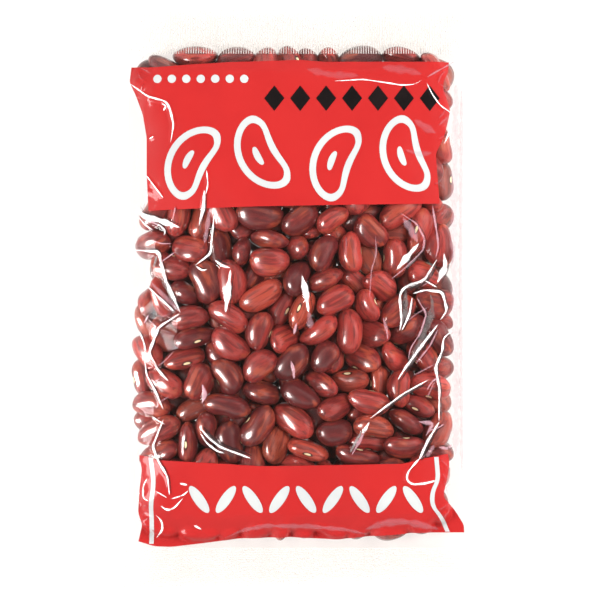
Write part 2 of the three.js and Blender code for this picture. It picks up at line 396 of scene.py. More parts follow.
@dataclass
class BeanPacker:
    """Packs the beans into the pillow as rigid bodies that push each other apart."""

    plan: BagPlan
    shape: BeanShape
    count: int = 352
    passes: int = 340
    seed: int = 20
    rim_overhang: float = 1.0
    give: float = 0.3
    columns: int = 9
    rows: int = 16
    scatter: float = 2.0
    clear_of_rim: float = 3.0
    start_share: float = 0.97
    pitch: float = 0.30
    roll: float = 0.75
    neighbour_passes: int = 8
    neighbour_lengths: float = 1.12
    damping: float = 0.42
    sinking: float = 0.02
    inner_share: float = 0.985
    floor_gap: float = 0.12
    most_out: float = 1.6
    rim_push: float = 4.0
    wall_push: float = 3.0
    most_turn: float = 0.12

    def pack(self) -> tuple[Array, Array, Array]:
        """Settle the beans.

        Returns:
            Each bean's place, its rotation matrix and its build.
        """
        rng = np.random.default_rng(self.seed)
        build = self.shape.builds(self.count, rng)
        place, turn = self._scatter(rng)
        balls, radii = self.shape.balls()
        arm = self.shape.length**2 / 12
        local = balls[None, :, :] * build[:, None, :3]
        radius = radii[None, :] * np.sqrt(build[:, 1] * build[:, 2])[:, None]
        for step in range(self.passes):
            if step % self.neighbour_passes == 0:
                one, two = self._neighbours(place)
            contacts = Contacts.none_yet(place, turn, local, radius)
            contacts.part(one, two)
            contacts.shift(self._film_push(contacts))
            share = 1.0 / np.maximum(1.0, contacts.hits * self.damping)[:, None]
            place += contacts.push * share
            if step < self.passes / 2:
                place[:, 2] -= self.sinking
            turn = self._turned(turn, contacts.twist * share / arm)
        LOG.info("packed %d beans, mean push left %.3f mm", self.count, np.abs(contacts.push).mean())
        return place, turn, build

    def _scatter(self, rng: Dice) -> Pair:
        """Start the beans at random inside the pillow, mostly lying down.

        Args:
            rng: The random source.

        Returns:
            Each bean's place and its rotation matrix.
        """
        layers = int(np.ceil(self.count / (self.columns * self.rows)))
        floors, lines, ranks = (range(number) for number in (layers, self.rows, self.columns))
        cells = np.array([(rank, line, floor) for floor in floors for line in lines for rank in ranks])
        cells = cells[rng.permutation(len(cells))[: self.count]]
        offs = [rng.normal(0, self.scatter, self.count) for _ in range(2)]
        ways = zip(cells.T, self.plan.middle, self.plan.half, (self.columns, self.rows), offs)
        x, y = (
            middle + ((cell + 0.5) / number * 2 - 1) * (half - self.clear_of_rim) + off
            for cell, middle, half, number, off in ways
        )
        share = np.clip(self.plan.share(x, y), 0, self.start_share)
        low, high = self.plan.back(share), self.plan.front(share)
        z = low + (high - low) * (cells[:, 2] + 0.5) / layers
        yaw = rng.uniform(0, 2 * np.pi, self.count)
        pitch = rng.normal(0, self.pitch, self.count)
        roll = rng.normal(0, self.roll, self.count) + np.pi * rng.integers(0, 2, self.count)
        return np.stack([x, y, z], -1), rotation(yaw, pitch, roll)

    def _neighbours(self, place: Array) -> Pair:
        """List the pairs of beans that are near enough to touch."""
        gap = np.linalg.norm(place[:, None, :] - place[None, :, :], axis=-1)
        return np.nonzero(np.triu(gap < self.shape.length * self.neighbour_lengths, 1))

    def _film_push(self, balls: Contacts) -> Array:
        """Tell how the film round the beans pushes each ball.

        Args:
            balls: The balls.

        Returns:
            How far each ball is pushed.
        """
        x, y, z = np.moveaxis(balls.centres, -1, 0)
        share = np.clip(self.plan.share(x, y), 0.0, self.inner_share)
        over = np.maximum(0.0, z + balls.radius - self.plan.front(share))
        under = np.maximum(0.0, self.plan.back(share) + self.floor_gap - (z - balls.radius))
        shift = np.zeros_like(balls.centres)
        shift[..., 2] = under - over
        inset = balls.radius - self.rim_overhang
        out = self.plan.share(x, y, inset)
        power = self.plan.plan_power
        slopes = [
            np.sign(at - middle) * np.abs((at - middle) / (half - inset)) ** (power - 1) / half
            for at, middle, half in zip((x, y), self.plan.middle, self.plan.half)
        ]
        steep = np.maximum(slopes[0] ** 2 + slopes[1] ** 2, 1e-12)
        excess = np.maximum(0.0, np.minimum(out, self.most_out) - 1.0) * out ** (power - 1) / steep
        for axis, slope in enumerate(slopes):
            inward = np.clip(excess * slope, -self.rim_push, self.rim_push)
            shift[..., axis] -= np.where(out > 1, inward, 0.0)
        left, right = self.plan.walls(y)
        shift[..., 0] += (left - self.give - (x - balls.radius)).clip(0, self.wall_push)
        shift[..., 0] -= (x + balls.radius - right - self.give).clip(0, self.wall_push)
        return shift

    def _turned(self, turn: Array, twist: Array) -> Array:
        """Turn the beans by small angles and keep their matrices square.

        Args:
            turn: Each bean's rotation matrix.
            twist: How far each bean turns about X, Y and Z.

        Returns:
            The new matrices.
        """
        twist = np.clip(twist, -self.most_turn, self.most_turn)
        columns = turn + np.cross(twist[:, :, None], turn, axis=1)
        first = columns[:, :, 0] / np.linalg.norm(columns[:, :, 0], axis=1, keepdims=True)
        second = columns[:, :, 1] - first * (first * columns[:, :, 1]).sum(1, keepdims=True)
        second /= np.linalg.norm(second, axis=1, keepdims=True)
        return np.stack([first, second, np.cross(first, second)], axis=-1)


def rotation(yaw: Array, pitch: Array, roll: Array) -> Array:
    """Make rotation matrices that roll about X, then pitch about Y, then turn about Z.

    Args:
        yaw: Turns about Z.
        pitch: Turns about Y.
        roll: Turns about X.

    Returns:
        One 3 by 3 matrix for each angle.
    """
    cz, sz, cy, sy = np.cos(yaw), np.sin(yaw), np.cos(pitch), np.sin(pitch)
    cx, sx = np.cos(roll), np.sin(roll)
    rows = [
        [cz * cy, cz * sy * sx - sz * cx, cz * sy * cx + sz * sx],
        [sz * cy, sz * sy * sx + cz * cx, sz * sy * cx - cz * sx],
        [-sy, cy * sx, cy * cx],
    ]
    return np.moveaxis(np.array(rows), -1, 0)


# Meshes.


@dataclass
class MeshMaker:
    """Makes mesh objects from arrays in millimetres."""

    smooth: bool = True

    def build(self, name: str, points: Array, faces: Array, material: Finish) -> Piece:
        """Make one mesh object.

        Args:
            name: The object's name.
            points: Its points, in millimetres.
            faces: Its faces, all with the same number of corners. A face whose first and last
                corners are the same has one corner less.
            material: Its material.

        Returns:
            The object, linked to the scene.
        """
        mesh = bpy.data.meshes.new(name)
        corners = faces.shape[1]
        sizes = corners - (faces[:, 0] == faces[:, -1])
        loops = faces[np.arange(corners)[None, :] < sizes[:, None]]
        mesh.vertices.add(len(points))
        mesh.vertices.foreach_set("co", (points * MM).astype(np.float32).ravel())
        mesh.loops.add(len(loops))
        mesh.loops.foreach_set("vertex_index", loops.astype(np.int32))
        mesh.polygons.add(len(faces))
        starts = np.concatenate([[0], np.cumsum(sizes)[:-1]])
        mesh.polygons.foreach_set("loop_start", starts.astype(np.int32))
        mesh.polygons.foreach_set("use_smooth", np.full(len(faces), self.smooth))
        mesh.update(calc_edges=True)
        mesh.validate()
        mesh.materials.append(material)
        piece = bpy.data.objects.new(name, mesh)
        bpy.context.scene.collection.objects.link(piece)
        return piece

    def sheet(self, name: str, places: list[Array], material: Finish) -> Piece:
        """Make one sheet from grids of its points' places across, along and over the floor."""
        points = np.stack(places, -1).reshape(-1, 3)
        return self.build(name, points, self.grid_faces(*places[0].shape), material)

    @staticmethod
    def mark(piece: Piece, name: str, values: Array) -> None:
        """Write a number for each of a piece's points into its mesh."""
        layer = piece.data.attributes.new(name, "FLOAT", "POINT")
        layer.data.foreach_set("value", values.astype(np.float32))

    @staticmethod
    def joined(parts: list[Pair]) -> Pair:
        """Join meshes into one.

        Args:
            parts: Each mesh's points and faces.

        Returns:
            All the points, and all the faces with their corners counted on.
        """
        starts = np.cumsum([0] + [len(points) for points, _ in parts])
        faces = [corners + start for (_, corners), start in zip(parts, starts)]
        return np.concatenate([points for points, _ in parts]), np.concatenate(faces)

    @staticmethod
    def grid_faces(rows: int, columns: int) -> Array:
        """List the faces of a grid whose points run along its rows.

        Args:
            rows: How many rows of points it has.
            columns: How many points each row has.

        Returns:
            The faces, four corners each, facing up.
        """
        one = (np.arange(rows - 1)[:, None] * columns + np.arange(columns - 1)[None, :]).ravel()
        return np.stack([one, one + 1, one + columns + 1, one + columns], -1)


# The film's surfaces.


@dataclass
class HeightMap:
    """Heights on an even grid over the whole bag."""

    left: float
    foot: float
    pitch: float
    z: Array

    @classmethod
    def over(cls, plan: BagPlan, pitch: float, fill: float, margin: float = 3.0) -> HeightMap:
        """Make an even map that covers the film.

        Args:
            plan: The bag.
            pitch: The grid's pitch.
            fill: The height it starts with.
            margin: How far it reaches past the film.

        Returns:
            The map.
        """
        left, foot = -plan.film_width / 2 - margin, -plan.film_height / 2 - margin
        columns = int(math.ceil(-2 * left / pitch)) + 1
        rows = int(math.ceil(-2 * foot / pitch)) + 1
        return cls(left, foot, pitch, np.full((rows, columns), fill))

    def places(self) -> Pair:
        """Give the place of every node.

        Returns:
            The places across and along the bag, as grids.
        """
        rows, columns = self.z.shape
        across, along = np.arange(columns) * self.pitch, np.arange(rows) * self.pitch
        return np.meshgrid(self.left + across, self.foot + along)

    def sample(self, x: Array, y: Array) -> Array:
        """Read the map between its nodes, smoothly.

        Args:
            x: Places across.
            y: Places along.

        Returns:
            Heights in millimetres.
        """
        rows, columns = self.z.shape
        # The spline reads one node before a place and two after it.
        across = np.clip((x - self.left) / self.pitch, 1.0, columns - 2.001)
        along = np.clip((y - self.foot) / self.pitch, 1.0, rows - 2.001)
        column, row = across.astype(int), along.astype(int)
        height = np.zeros(np.shape(x))
        for i, weight_y in enumerate(self._weights(along - row)):
            for j, weight_x in enumerate(self._weights(across - column)):
                nodes = self.z[np.clip(row + i - 1, 0, rows - 1), np.clip(column + j - 1, 0, columns - 1)]
                height += weight_y * weight_x * nodes
        return height

    @staticmethod
    def _weights(t: Array) -> tuple[Array, Array, Array, Array]:
        """Give the four weights of an even cubic spline."""
        middle = (3 * t**3 - 6 * t**2 + 4) / 6, (-3 * t**3 + 3 * t**2 + 3 * t + 1) / 6
        return (1 - t) ** 3 / 6, *middle, t**3 / 6


def slid(grid: Array, step: int, axis: int) -> Array:
    """Slide a grid along one axis and repeat its edge.

    Args:
        grid: The grid.
        step: How many nodes it slides.
        axis: 0 to slide it along the bag and 1 to slide it across.

    Returns:
        The slid grid.
    """
    picks = np.clip(np.arange(grid.shape[axis]) - step, 0, grid.shape[axis] - 1)
    return np.take(grid, picks, axis=axis)


def highest_near(grid: Array, reach: int) -> Array:
    """Give the highest value near each node.

    Args:
        grid: The grid.
        reach: How many nodes count as near.

    Returns:
        The highest values.
    """
    for axis in (0, 1):
        grid = np.max([slid(grid, step, axis) for step in range(-reach, reach + 1)], axis=0)
    return grid


def softened(grid: Array, spread: float) -> Array:
    """Blur a grid with a bell-shaped weight.

    Args:
        grid: The grid.
        spread: The weight's spread, in nodes.

    Returns:
        The blurred grid.
    """
    reach = int(math.ceil(2.5 * spread))
    steps = np.arange(-reach, reach + 1)
    weights = np.exp(-0.5 * (steps / spread) ** 2)
    weights /= weights.sum()
    for axis in (0, 1):
        grid = sum(weight * slid(grid, int(step), axis) for step, weight in zip(steps, weights))
    return grid


def walked(line: tuple[Point, ...], steps: int, rounding: float = 0.5) -> Array:
    """Step evenly along a line.

    Args:
        line: The line's points.
        steps: How many points to give.
        rounding: How far to each side of a corner it is rounded.

    Returns:
        The points, from the line's start to its end.
    """
    points = np.array(line)
    gone = np.concatenate([[0], np.cumsum(np.linalg.norm(np.diff(points, axis=0), axis=1))])
    fine_steps = 8 * steps
    fine = np.linspace(0, gone[-1], fine_steps)
    straight = np.stack([np.interp(fine, gone, points[:, i]) for i in (0, 1)], -1)
    reach = max(1, int(round(rounding / (gone[-1] / fine_steps))))
    rounded = np.mean([slid(straight, step, 0) for step in range(-reach, reach + 1)], axis=0)
    rounded[0], rounded[-1] = points[0], points[-1]
    at = np.linspace(0, gone[-1], steps)
    return np.stack([np.interp(at, fine, rounded[:, i]) for i in (0, 1)], -1)


@dataclass
class Draper:
    """Draws a film panel over the heap until it spans from bean to bean like a skin."""

    plan: BagPlan
    pitch: float = 0.45
    clearance: float = 0.14
    suction: float = 0.006
    rounds: int = 150
    bridge: float = 4.0
    ease: float = 2.7
    window_slack: float = 0.30
    window: Point = (-60.0, 34.0)
    window_ease: float = 6.0
    seal_gap: float = 0.15
    floor_gap: float = 0.03
    hold_off: float = 1.1
    seal_share: float = 0.93
    fill_share: float = 0.985
    rim_ease: float = 0.07
    feel_share: float = 1.06
    haste: float = 1.6
    nowhere: float = -1000.0

    def drape(self, tree: BVHTree, side: Side) -> HeightMap:
        """Find the shape of one panel.

        Args:
            tree: The beans' skins, in millimetres.
            side: Which panel.

        Returns:
            The panel's height map.
        """
        heap = self._feel(tree, side)
        x, y = heap.places()
        flap = self.plan.flap(x, y) - (self.seal_gap if side is Side.BACK else 0.0)
        sign = side.value
        skin = np.where(np.isfinite(heap.z), heap.z * sign, -np.inf)
        skin = np.where(np.isfinite(heap.z), highest_near(skin, 1), np.nan) * sign
        height = None
        for coarse in (4, 2, 1):
            solid = (skin * sign)[::coarse, ::coarse]
            near = self._near(np.isfinite(solid), max(1, round(self.hold_off / (self.pitch * coarse))))
            base = flap[::coarse, ::coarse] * sign
            share = self.plan.share(x[::coarse, ::coarse], y[::coarse, ::coarse])
            held = ~near & (share > self.seal_share)
            floor = np.where(np.isfinite(solid), solid + self.clearance, self.nowhere)
            if height is None:
                height = np.maximum(base, floor)
            else:
                height = np.repeat(np.repeat(height, 2, 0), 2, 1)[: base.shape[0], : base.shape[1]]
            height = self._relax(height, floor, base, held, coarse, side)
        if side is Side.BACK:
            return replace(heap, z=np.minimum(height, -self.floor_gap) * sign)
        return replace(heap, z=self._tightened(height, x, y))

    def _tightened(self, height: Array, x: Array, y: Array) -> Array:
        """Pull the front panel nearly flat over the tops of the beans.

        Args:
            height: The panel as it hugs the heap.
            x: Each node's place across.
            y: Each node's place along.

        Returns:
            The tight panel's heights.
        """
        share = self.plan.share(x, y)
        pillow = self.plan.front(np.minimum(share, 0.995))
        over = height - pillow
        filled = share < self.fill_share
        tops = highest_near(np.where(filled, over, over.min()), round(self.bridge / self.pitch))
        bridged = softened(tops, self.ease / self.pitch)
        tight = np.clip((self.fill_share - share) / self.rim_ease, 0.0, 1.0)
        from_edge = np.minimum(y - self.window[0], self.window[1] - y)
        inside = np.clip(from_edge / self.window_ease, 0.0, 1.0)
        tight = tight * (1.0 - self.window_slack * inside)
        return np.where(filled, np.maximum(height, height + tight * np.maximum(bridged - over, 0.0)), height)

    def _feel(self, tree: BVHTree, side: Side) -> HeightMap:
        """Measure the heap at every node.

        Args:
            tree: The beans' skins.
            side: From above for the front panel and from below for the back one.

        Returns:
            The heap's heights, with no number where there are no beans.
        """
        heap = HeightMap.over(self.plan, self.pitch, np.nan)
        x, y = heap.places()
        start, way = RAY_START * side.value, Vector((0, 0, -side.value))
        flat_x, flat_y, out = x.ravel(), y.ravel(), heap.z.ravel()
        inside = np.nonzero(self.plan.share(flat_x, flat_y) < self.feel_share)[0]
        for i in inside:
            hit = tree.ray_cast(Vector((flat_x[i], flat_y[i], start)), way, RAY_LENGTH)[0]
            if hit is not None:
                out[i] = hit.z
        heap.z = out.reshape(heap.z.shape)
        return heap

    @staticmethod
    def _near(mask: Array, reach: int) -> Array:
        """Grow a mask all round.

        Args:
            mask: The mask.
            reach: By how many nodes.

        Returns:
            The larger mask.
        """
        for _ in range(reach):
            mask = mask | slid(mask, 1, 0) | slid(mask, -1, 0) | slid(mask, 1, 1) | slid(mask, -1, 1)
        return mask

    def _relax(self, height: Array, floor: Array, base: Array, held: Array, coarse: int, side: Side) -> Array:
        """Pull the panel tight over what holds it off.

        Args:
            height: The heights to start from.
            floor: The lowest that each node may be.
            base: The height of the sealed film.
            held: The nodes that are sealed.
            coarse: The pitch of these nodes, in the map's own pitches.
            side: Which panel.

        Returns:
            The relaxed heights.
        """
        rows, columns = height.shape
        checker = (np.add.outer(np.arange(rows), np.arange(columns)) % 2).astype(bool)
        pull = self.suction * coarse**2
        for _ in range(self.rounds):
            for color in (checker, ~checker):
                mean = height.copy()
                along = height[:-2, 1:-1] + height[2:, 1:-1]
                across = height[1:-1, :-2] + height[1:-1, 2:]
                mean[1:-1, 1:-1] = (along + across) / 4 - pull
                eased = np.maximum(height + self.haste * (mean - height), floor)
                if side is Side.BACK:
                    eased = np.minimum(eased, -self.floor_gap)
                height = np.where(color, np.where(held, base, eased), height)
        return height


@dataclass(frozen=True)
class Fold:
    """A fold that stands up in the film along a line.

    Its two flanks may differ in width: the left one lies to the left of its run. Its crest has a
    painted highlight over a width, and beside the crest there is painted shade over a width. The
    cover tells how far the painted highlight hides what is behind the film; with little cover it
    is a pink painted sheen.
    """

    line: tuple[Point, ...]
    rise: float = 0.5
    left: float = 0.9
    right: float = 1.2
    sharpness: float = 1.15
    taper: float = 0.25
    gleam: float = 0.8
    shade: float = 0.6
    cover: float = 0.95
    end_width: float = 0.4
    bluntness: float = 0.12

    def lift(self, x: Array, y: Array) -> Array:
        """Tell how far the fold raises the film.

        Args:
            x: Places across.
            y: Places along.

        Returns:
            How far each place is raised.
        """
        points = np.array(self.line)
        reach = max(self.left, self.right)
        low, high = points.min(0) - reach, points.max(0) + reach
        lift = np.zeros(np.shape(x))
        near = (x > low[0]) & (x < high[0]) & (y > low[1]) & (y < high[1])
        if not near.any():
            return lift
        px, py = x[near], y[near]
        lengths = np.linalg.norm(np.diff(points, axis=0), axis=1)
        total, before = lengths.sum(), 0.0
        best, along, beside = np.full(px.shape, np.inf), np.zeros(px.shape), np.zeros(px.shape)
        for start, end, length in zip(points[:-1], points[1:], lengths):
            way = (end - start) / max(length, 1e-6)
            off_x, off_y = px - start[0], py - start[1]
            at = np.clip(off_x * way[0] + off_y * way[1], 0, length)
            gap = np.hypot(off_x - at * way[0], off_y - at * way[1])
            closer = gap < best
            best = np.where(closer, gap, best)
            along = np.where(closer, before + at, along)
            beside = np.where(closer, way[0] * off_y - way[1] * off_x, beside)
            before += length
        fade = self.faded(along / total)
        width = np.where(beside > 0, self.left, self.right)
        width = width * (self.end_width + (1 - self.end_width) * fade)
        blunt = np.sqrt(best**2 + self.bluntness**2) - self.bluntness
        lift[near] = self.rise * fade * np.clip(1.0 - blunt / width, 0.0, 1.0) ** self.sharpness
        return lift

    def length(self) -> float:
        """Give the length of the fold's line."""
        return sum(math.dist(start, end) for start, end in zip(self.line[:-1], self.line[1:]))

    def faded(self, share: Array) -> Array:
        """Tell how much of the fold is left at shares of its length, from 0 at its ends to 1."""
        return np.clip(np.minimum(share, 1.0 - share) / self.taper, 0.0, 1.0) ** 0.7


# Folds that lie over each other, where the doubled film is drawn as a grey strip of painted shade.
GREY_SHADE_FOLDS = (
    Fold(((38.6, 4.4), (38.5, -1.2), (38.3, -5.4), (37.3, -9.0)), 0.2, gleam=2.2),
    Fold(((39.0, 4.6), (42.0, 5.2), (45.4, 6.0)), 0.2, gleam=1.5),
    Fold(
        ((47.4, 2.4), (48.4, -1.4), (47.4, -6.6), (44.6, -13.4), (41.4, -20.4), (38.6, -25.6)),
        0.2, gleam=2.7, cover=0.8,
    ),
    Fold(((48.9, 13.2), (46.9, 7.8)), 0.2, gleam=3.0, cover=0.6),
    Fold(((44.2, 17.8), (40.6, 12.9), (37.6, 10.8)), 0.2),
    Fold(((-50.7, 15.8), (-51.9, 11.4)), 0.2, gleam=1.3),
    Fold(((-34.6, 29.8), (-35.2, 24.4)), 0.2, cover=0.7),
    Fold(((44.6, -30.2), (38.4, -33.9), (30.5, -39.2)), 0.2, gleam=1.0),
    Fold(((51.3, -26.0), (50.6, -33.0), (51.6, -44.0)), 0.2, gleam=1.2, cover=0.5),
    Fold(((-33.2, -47.2), (-30.0, -50.4), (-26.6, -52.6)), 0.2, gleam=1.1),
    Fold(((22.9, -46.8), (20.3, -51.6), (18.6, -54.8)), 0.2, gleam=1.4),
)
# Folds that the front panel has, each from where it starts to where it ends.
LEFT_FOLDS = (
    Fold(
        ((-59.0, 18.0), (-50.0, 17.3), (-49.3, 14.0), (-47.5, 7.2), (-42.1, -4.7)),
        0.6, 0.9, 1.3, gleam=1.3,
    ),
    Fold(((-42.1, -4.7), (-50.0, -9.7), (-53.6, -19.1), (-50.4, -24.1)), gleam=1.0),
    Fold(((-54.7, 5.4), (-43.6, -4.7)), 0.45, 0.9, 1.2, gleam=0.7),
    Fold(((-53.0, 6.5), (-46.5, 0.0), (-42.5, -4.0)), 0.3, gleam=1.9, shade=0.0, cover=0.35),
    Fold(((-58.0, 33.5), (-55.8, 30.2), (-50.4, 28.8), (-42.1, 25.9)), 0.8, 1.1, 2.0, gleam=2.0, shade=0.5),
    Fold(((-50.5, 27.5), (-47.5, 25.0), (-48.0, 23.0)), 0.3, gleam=0.7),
    Fold(((-33.5, 39.6), (-33.8, 33.1), (-35.6, 26.3)), 0.45, gleam=1.2),
    Fold(((-29.9, 31.3), (-31.0, 20.9), (-31.3, 16.6), (-37.1, 12.2)), 0.5, 0.8, 1.3),
    Fold(((-31.5, 33.0), (-32.5, 26.0), (-33.5, 20.0)), 0.3, gleam=2.0, shade=0.0, cover=0.4),
    Fold(((-36.7, 12.2), (-34.2, 10.5), (-32.4, 11.0)), 0.3, gleam=0.7, shade=0.5),
    Fold(((-29.9, 14.4), (-27.0, 12.2), (-24.1, 11.5)), 0.6, 1.2, 1.8, gleam=1.1, shade=0.9),
    Fold(((-24.1, 11.0), (-25.2, 2.5), (-25.9, -4.7)), 0.75, 0.9, 1.8, gleam=2.4, taper=0.4),
    Fold(((-52.2, -22.5), (-49.0, -26.5), (-46.4, -29.2)), 0.3, gleam=0.9),
    Fold(((-55.1, -21.6), (-54.4, -27.0), (-51.1, -32.8), (-48.2, -39.6)), gleam=0.7),
    Fold(((-48.2, -42.5), (-52.2, -52.6), (-50.0, -58.0), (-46.8, -63.4), (-46.1, -70.2)), 0.6, gleam=0.9),
    Fold(
        ((-35.3, -45.4), (-32.4, -49.0), (-28.1, -52.6), (-16.6, -56.9)),
        0.5, 0.8, 1.0, gleam=0.9, shade=1.4,
    ),
    Fold(((-35.0, -47.5), (-33.0, -51.0), (-29.0, -54.2), (-26.0, -55.0)), 0.3, shade=0.0),
    Fold(((-34.4, -30.0), (-33.3, -33.5), (-34.4, -37.3)), 0.4, gleam=2.1, shade=0.0, cover=0.8, taper=0.5),
    Fold(((-43.9, 33.6), (-45.0, 28.4)), 0.3, gleam=0.6, cover=0.6),
)
MIDDLE_FOLDS = (
    Fold(((1.4, 9.0), (2.9, 2.0), (3.8, -4.6)), 0.95, 0.8, 2.2, taper=0.5, gleam=2.9),
    Fold(((3.9, -4.0), (4.5, -10.5)), 0.3, gleam=2.4, shade=0.0, cover=0.3),
    Fold(((-0.5, -8.0), (-1.5, -12.5)), 0.3, gleam=0.9, cover=0.8),
    Fold(((-2.6, -21.5), (-1.6, -25.0), (-1.4, -28.5)), 0.4, gleam=1.6, shade=0.0, cover=0.8, taper=0.5),
    Fold(((27.7, 23.4), (28.1, 16.6), (26.3, 10.8), (25.6, 0.7)), 0.3, gleam=0.6, shade=0.4, cover=0.4),
    Fold(((17.2, 23.2), (17.2, 15.0)), 0.2, gleam=0.3, shade=0.4, cover=0.3),
    Fold(((30.5, -6.0), (31.8, -11.0), (32.2, -14.5)), 0.3, gleam=1.4, shade=0.3, cover=0.5, taper=0.5),
    Fold(((47.2, -28.4), (37.8, -33.5), (25.6, -42.5)), 0.5, 0.9, 1.2, gleam=0.7, shade=1.0),
    Fold(((25.6, -43.6), (23.0, -48.0)), 0.6, 0.8, 2.0, gleam=1.8, shade=0.0, taper=0.5),
    Fold(
        ((24.3, -46.0), (20.9, -52.6), (19.1, -55.8)),
        0.7, 0.8, 2.2, gleam=1.5, shade=0.0, cover=0.6, taper=0.45,
    ),
)
RIGHT_FOLDS = (
    Fold(((48.2, 34.2), (50.0, 23.0), (50.4, 19.1), (49.3, 14.8)), 0.5, 0.8, 1.3, gleam=0.9, cover=0.7),
    Fold(
        ((36.4, 31.3), (42.5, 27.4), (45.4, 22.0), (45.0, 18.0), (39.2, 12.2), (33.1, 7.2)),
        0.9, 1.0, 2.4, cover=0.6,
    ),
    Fold(((37.5, 29.5), (40.5, 25.5), (43.0, 20.5)), 0.3, gleam=3.2, shade=0.0, cover=0.4),
    Fold(((43.5, 20.5), (40.0, 16.5), (35.3, 10.8)), 0.8, 0.8, 2.6, gleam=2.7, shade=0.5, taper=0.45),
    Fold(
        ((50.0, 14.8), (45.4, 7.2), (37.8, 4.3), (36.4, 1.5), (37.1, -7.6), (36.4, -11.2)),
        0.6, 0.9, 1.5, gleam=1.1, shade=1.5,
    ),
    Fold(((41.0, 1.1), (40.0, -5.0), (37.1, -11.2)), 0.4),
    Fold(((52.4, 17.0), (53.0, 12.0), (50.0, 6.1)), 0.9, 0.9, 2.4, gleam=2.6, taper=0.5),
    Fold(((54.9, 11.0), (55.8, 15.8), (55.9, 20.5)), 1.1, 1.3, 1.5, gleam=0.4, shade=0.3, cover=0.5),
    Fold(((45.5, 7.0), (50.0, 4.5)), 0.3, gleam=0.6),
    Fold(((41.0, 2.2), (45.4, 3.6), (51.8, 2.9), (53.6, -3.6), (51.0, -7.5)), 0.45, gleam=1.0),
    Fold(((42.5, 1.0), (46.1, -5.0), (43.9, -11.9), (40.3, -17.3), (39.5, -21.5)), 0.7, 0.9, 1.5, cover=0.65),
    Fold(((50.4, -8.5), (43.6, -17.4), (38.0, -25.0), (35.6, -28.8)), 0.6, gleam=1.1, shade=1.3),
    Fold(((50.4, -10.1), (47.5, -16.2), (42.1, -23.0)), 0.45, gleam=0.7, cover=0.65),
    Fold(
        ((55.8, -10.8), (52.2, -13.7), (51.8, -18.4), (49.3, -24.1), (50.8, -32.0), (50.6, -43.6)),
        0.7, gleam=1.0,
    ),
    Fold(((50.8, -43.6), (46.6, -50.4), (43.4, -57.4)), 0.55, gleam=1.0, shade=1.1, taper=0.12),
    Fold(
        ((43.7, -56.6), (39.4, -61.6), (38.9, -64.6), (41.0, -66.2), (45.4, -65.9), (49.7, -64.8)),
        0.5, shade=0.0, taper=0.08,
    ),
    Fold(((42.8, -43.6), (48.6, -44.3), (45.7, -49.0)), 0.5, 1.4, 1.6, gleam=1.4, shade=0.0, cover=0.6),
    Fold(((49.0, -52.0), (46.0, -56.5)), 0.3, gleam=2.0, shade=0.0, cover=0.4),
    Fold(((50.4, -52.8), (54.0, -53.6), (55.6, -52.0)), 0.3, gleam=1.2, cover=0.7),
    Fold(
        ((57.0, 78.0), (56.2, 20.0), (57.2, -30.0), (56.8, -56.0)),
        0.22, 0.7, 0.9, taper=0.05, gleam=3.0, shade=0.0, cover=0.3,
    ),
    Fold(
        ((59.0, 76.0), (58.6, 10.0), (59.2, -62.0)),
        0.18, 0.6, 0.7, taper=0.05, gleam=1.5, shade=0.0, cover=0.34,
    ),
)
# Folds over the printed fields, which have no dark line.
BAND_FOLDS = tuple(replace(fold, shade=0.0) for fold in (
    Fold(
        ((-60.8, 78.1), (-54.0, 73.1), (-47.5, 71.3), (-46.1, 69.1), (-44.6, 63.0), (-45.7, 56.2)),
        0.55, 0.9, 1.3,
    ),
    Fold(((-49.0, 70.5), (-47.3, 69.7), (-48.3, 67.8)), 0.25, gleam=0.7),
    Fold(((-54.7, 45.0), (-48.2, 36.4)), 0.4, gleam=0.6),
    Fold(((-32.8, 46.8), (-32.2, 41.4), (-33.1, 37.6)), 0.35, gleam=0.6),
    Fold(((-53.5, 57.8), (-51.8, 58.8)), 0.2, gleam=0.5),
    Fold(
        ((12.8, 78.6), (23.6, 79.2), (32.3, 77.9), (37.2, 77.1), (41.8, 77.4), (44.6, 79.0)),
        0.3, 1.6, 1.6, gleam=0.5,
    ),
    Fold(((3.0, 83.0), (12.0, 80.8), (22.0, 80.6)), 0.2, gleam=3.0, cover=0.12),
    Fold(((30.0, 83.6), (39.0, 82.6), (44.5, 81.0)), 0.2, gleam=3.6, cover=0.12),
    Fold(((46.1, 78.1), (48.2, 73.8), (51.1, 69.8), (55.8, 67.0)), gleam=0.55, cover=0.9),
    Fold(((55.4, 67.0), (54.6, 60.8), (52.5, 55.9)), gleam=0.7),
    Fold(((56.5, 86.0), (46.1, 79.9)), 0.35, cover=0.4),
    Fold(((41.5, 64.8), (45.7, 61.9), (49.7, 59.8)), 0.3, gleam=2.6, cover=0.15),
    Fold(((38.4, 53.8), (43.5, 52.3), (48.2, 52.8)), 0.2, gleam=2.0, cover=0.15),
    Fold(((-51.0, -68.6), (-47.0, -71.0)), 0.3, gleam=0.6),
    Fold(((-45.8, -71.5), (-41.0, -70.0), (-39.2, -68.2)), 0.3, gleam=0.6),
    Fold(((-49.5, -73.8), (-47.0, -75.6), (-44.5, -74.8), (-41.2, -71.0)), 0.35),
    Fold(((-51.2, -77.2), (-49.0, -79.4), (-48.7, -82.6), (-51.2, -86.0)), 0.35, gleam=0.7),
    Fold(((-42.5, -65.8), (-39.6, -66.4)), 0.2, gleam=0.9),
    Fold(((-54.0, -63.6), (-55.8, -67.0), (-55.7, -71.5), (-53.6, -72.2)), 0.3, gleam=0.7),
    Fold(
        ((-26.4, -85.8), (-20.2, -83.0), (-11.9, -81.2), (4.0, -81.4), (17.0, -82.6), (26.0, -84.6)),
        0.3, 1.8, 1.8, gleam=1.9, cover=0.2,
    ),
    Fold(
        ((24.0, -82.6), (31.0, -80.2), (38.0, -79.6), (44.0, -80.8), (51.0, -82.8)),
        0.25, gleam=3.0, cover=0.2,
    ),
    Fold(((-37.5, -81.0), (-34.6, -82.6)), 0.2, gleam=0.6),
))


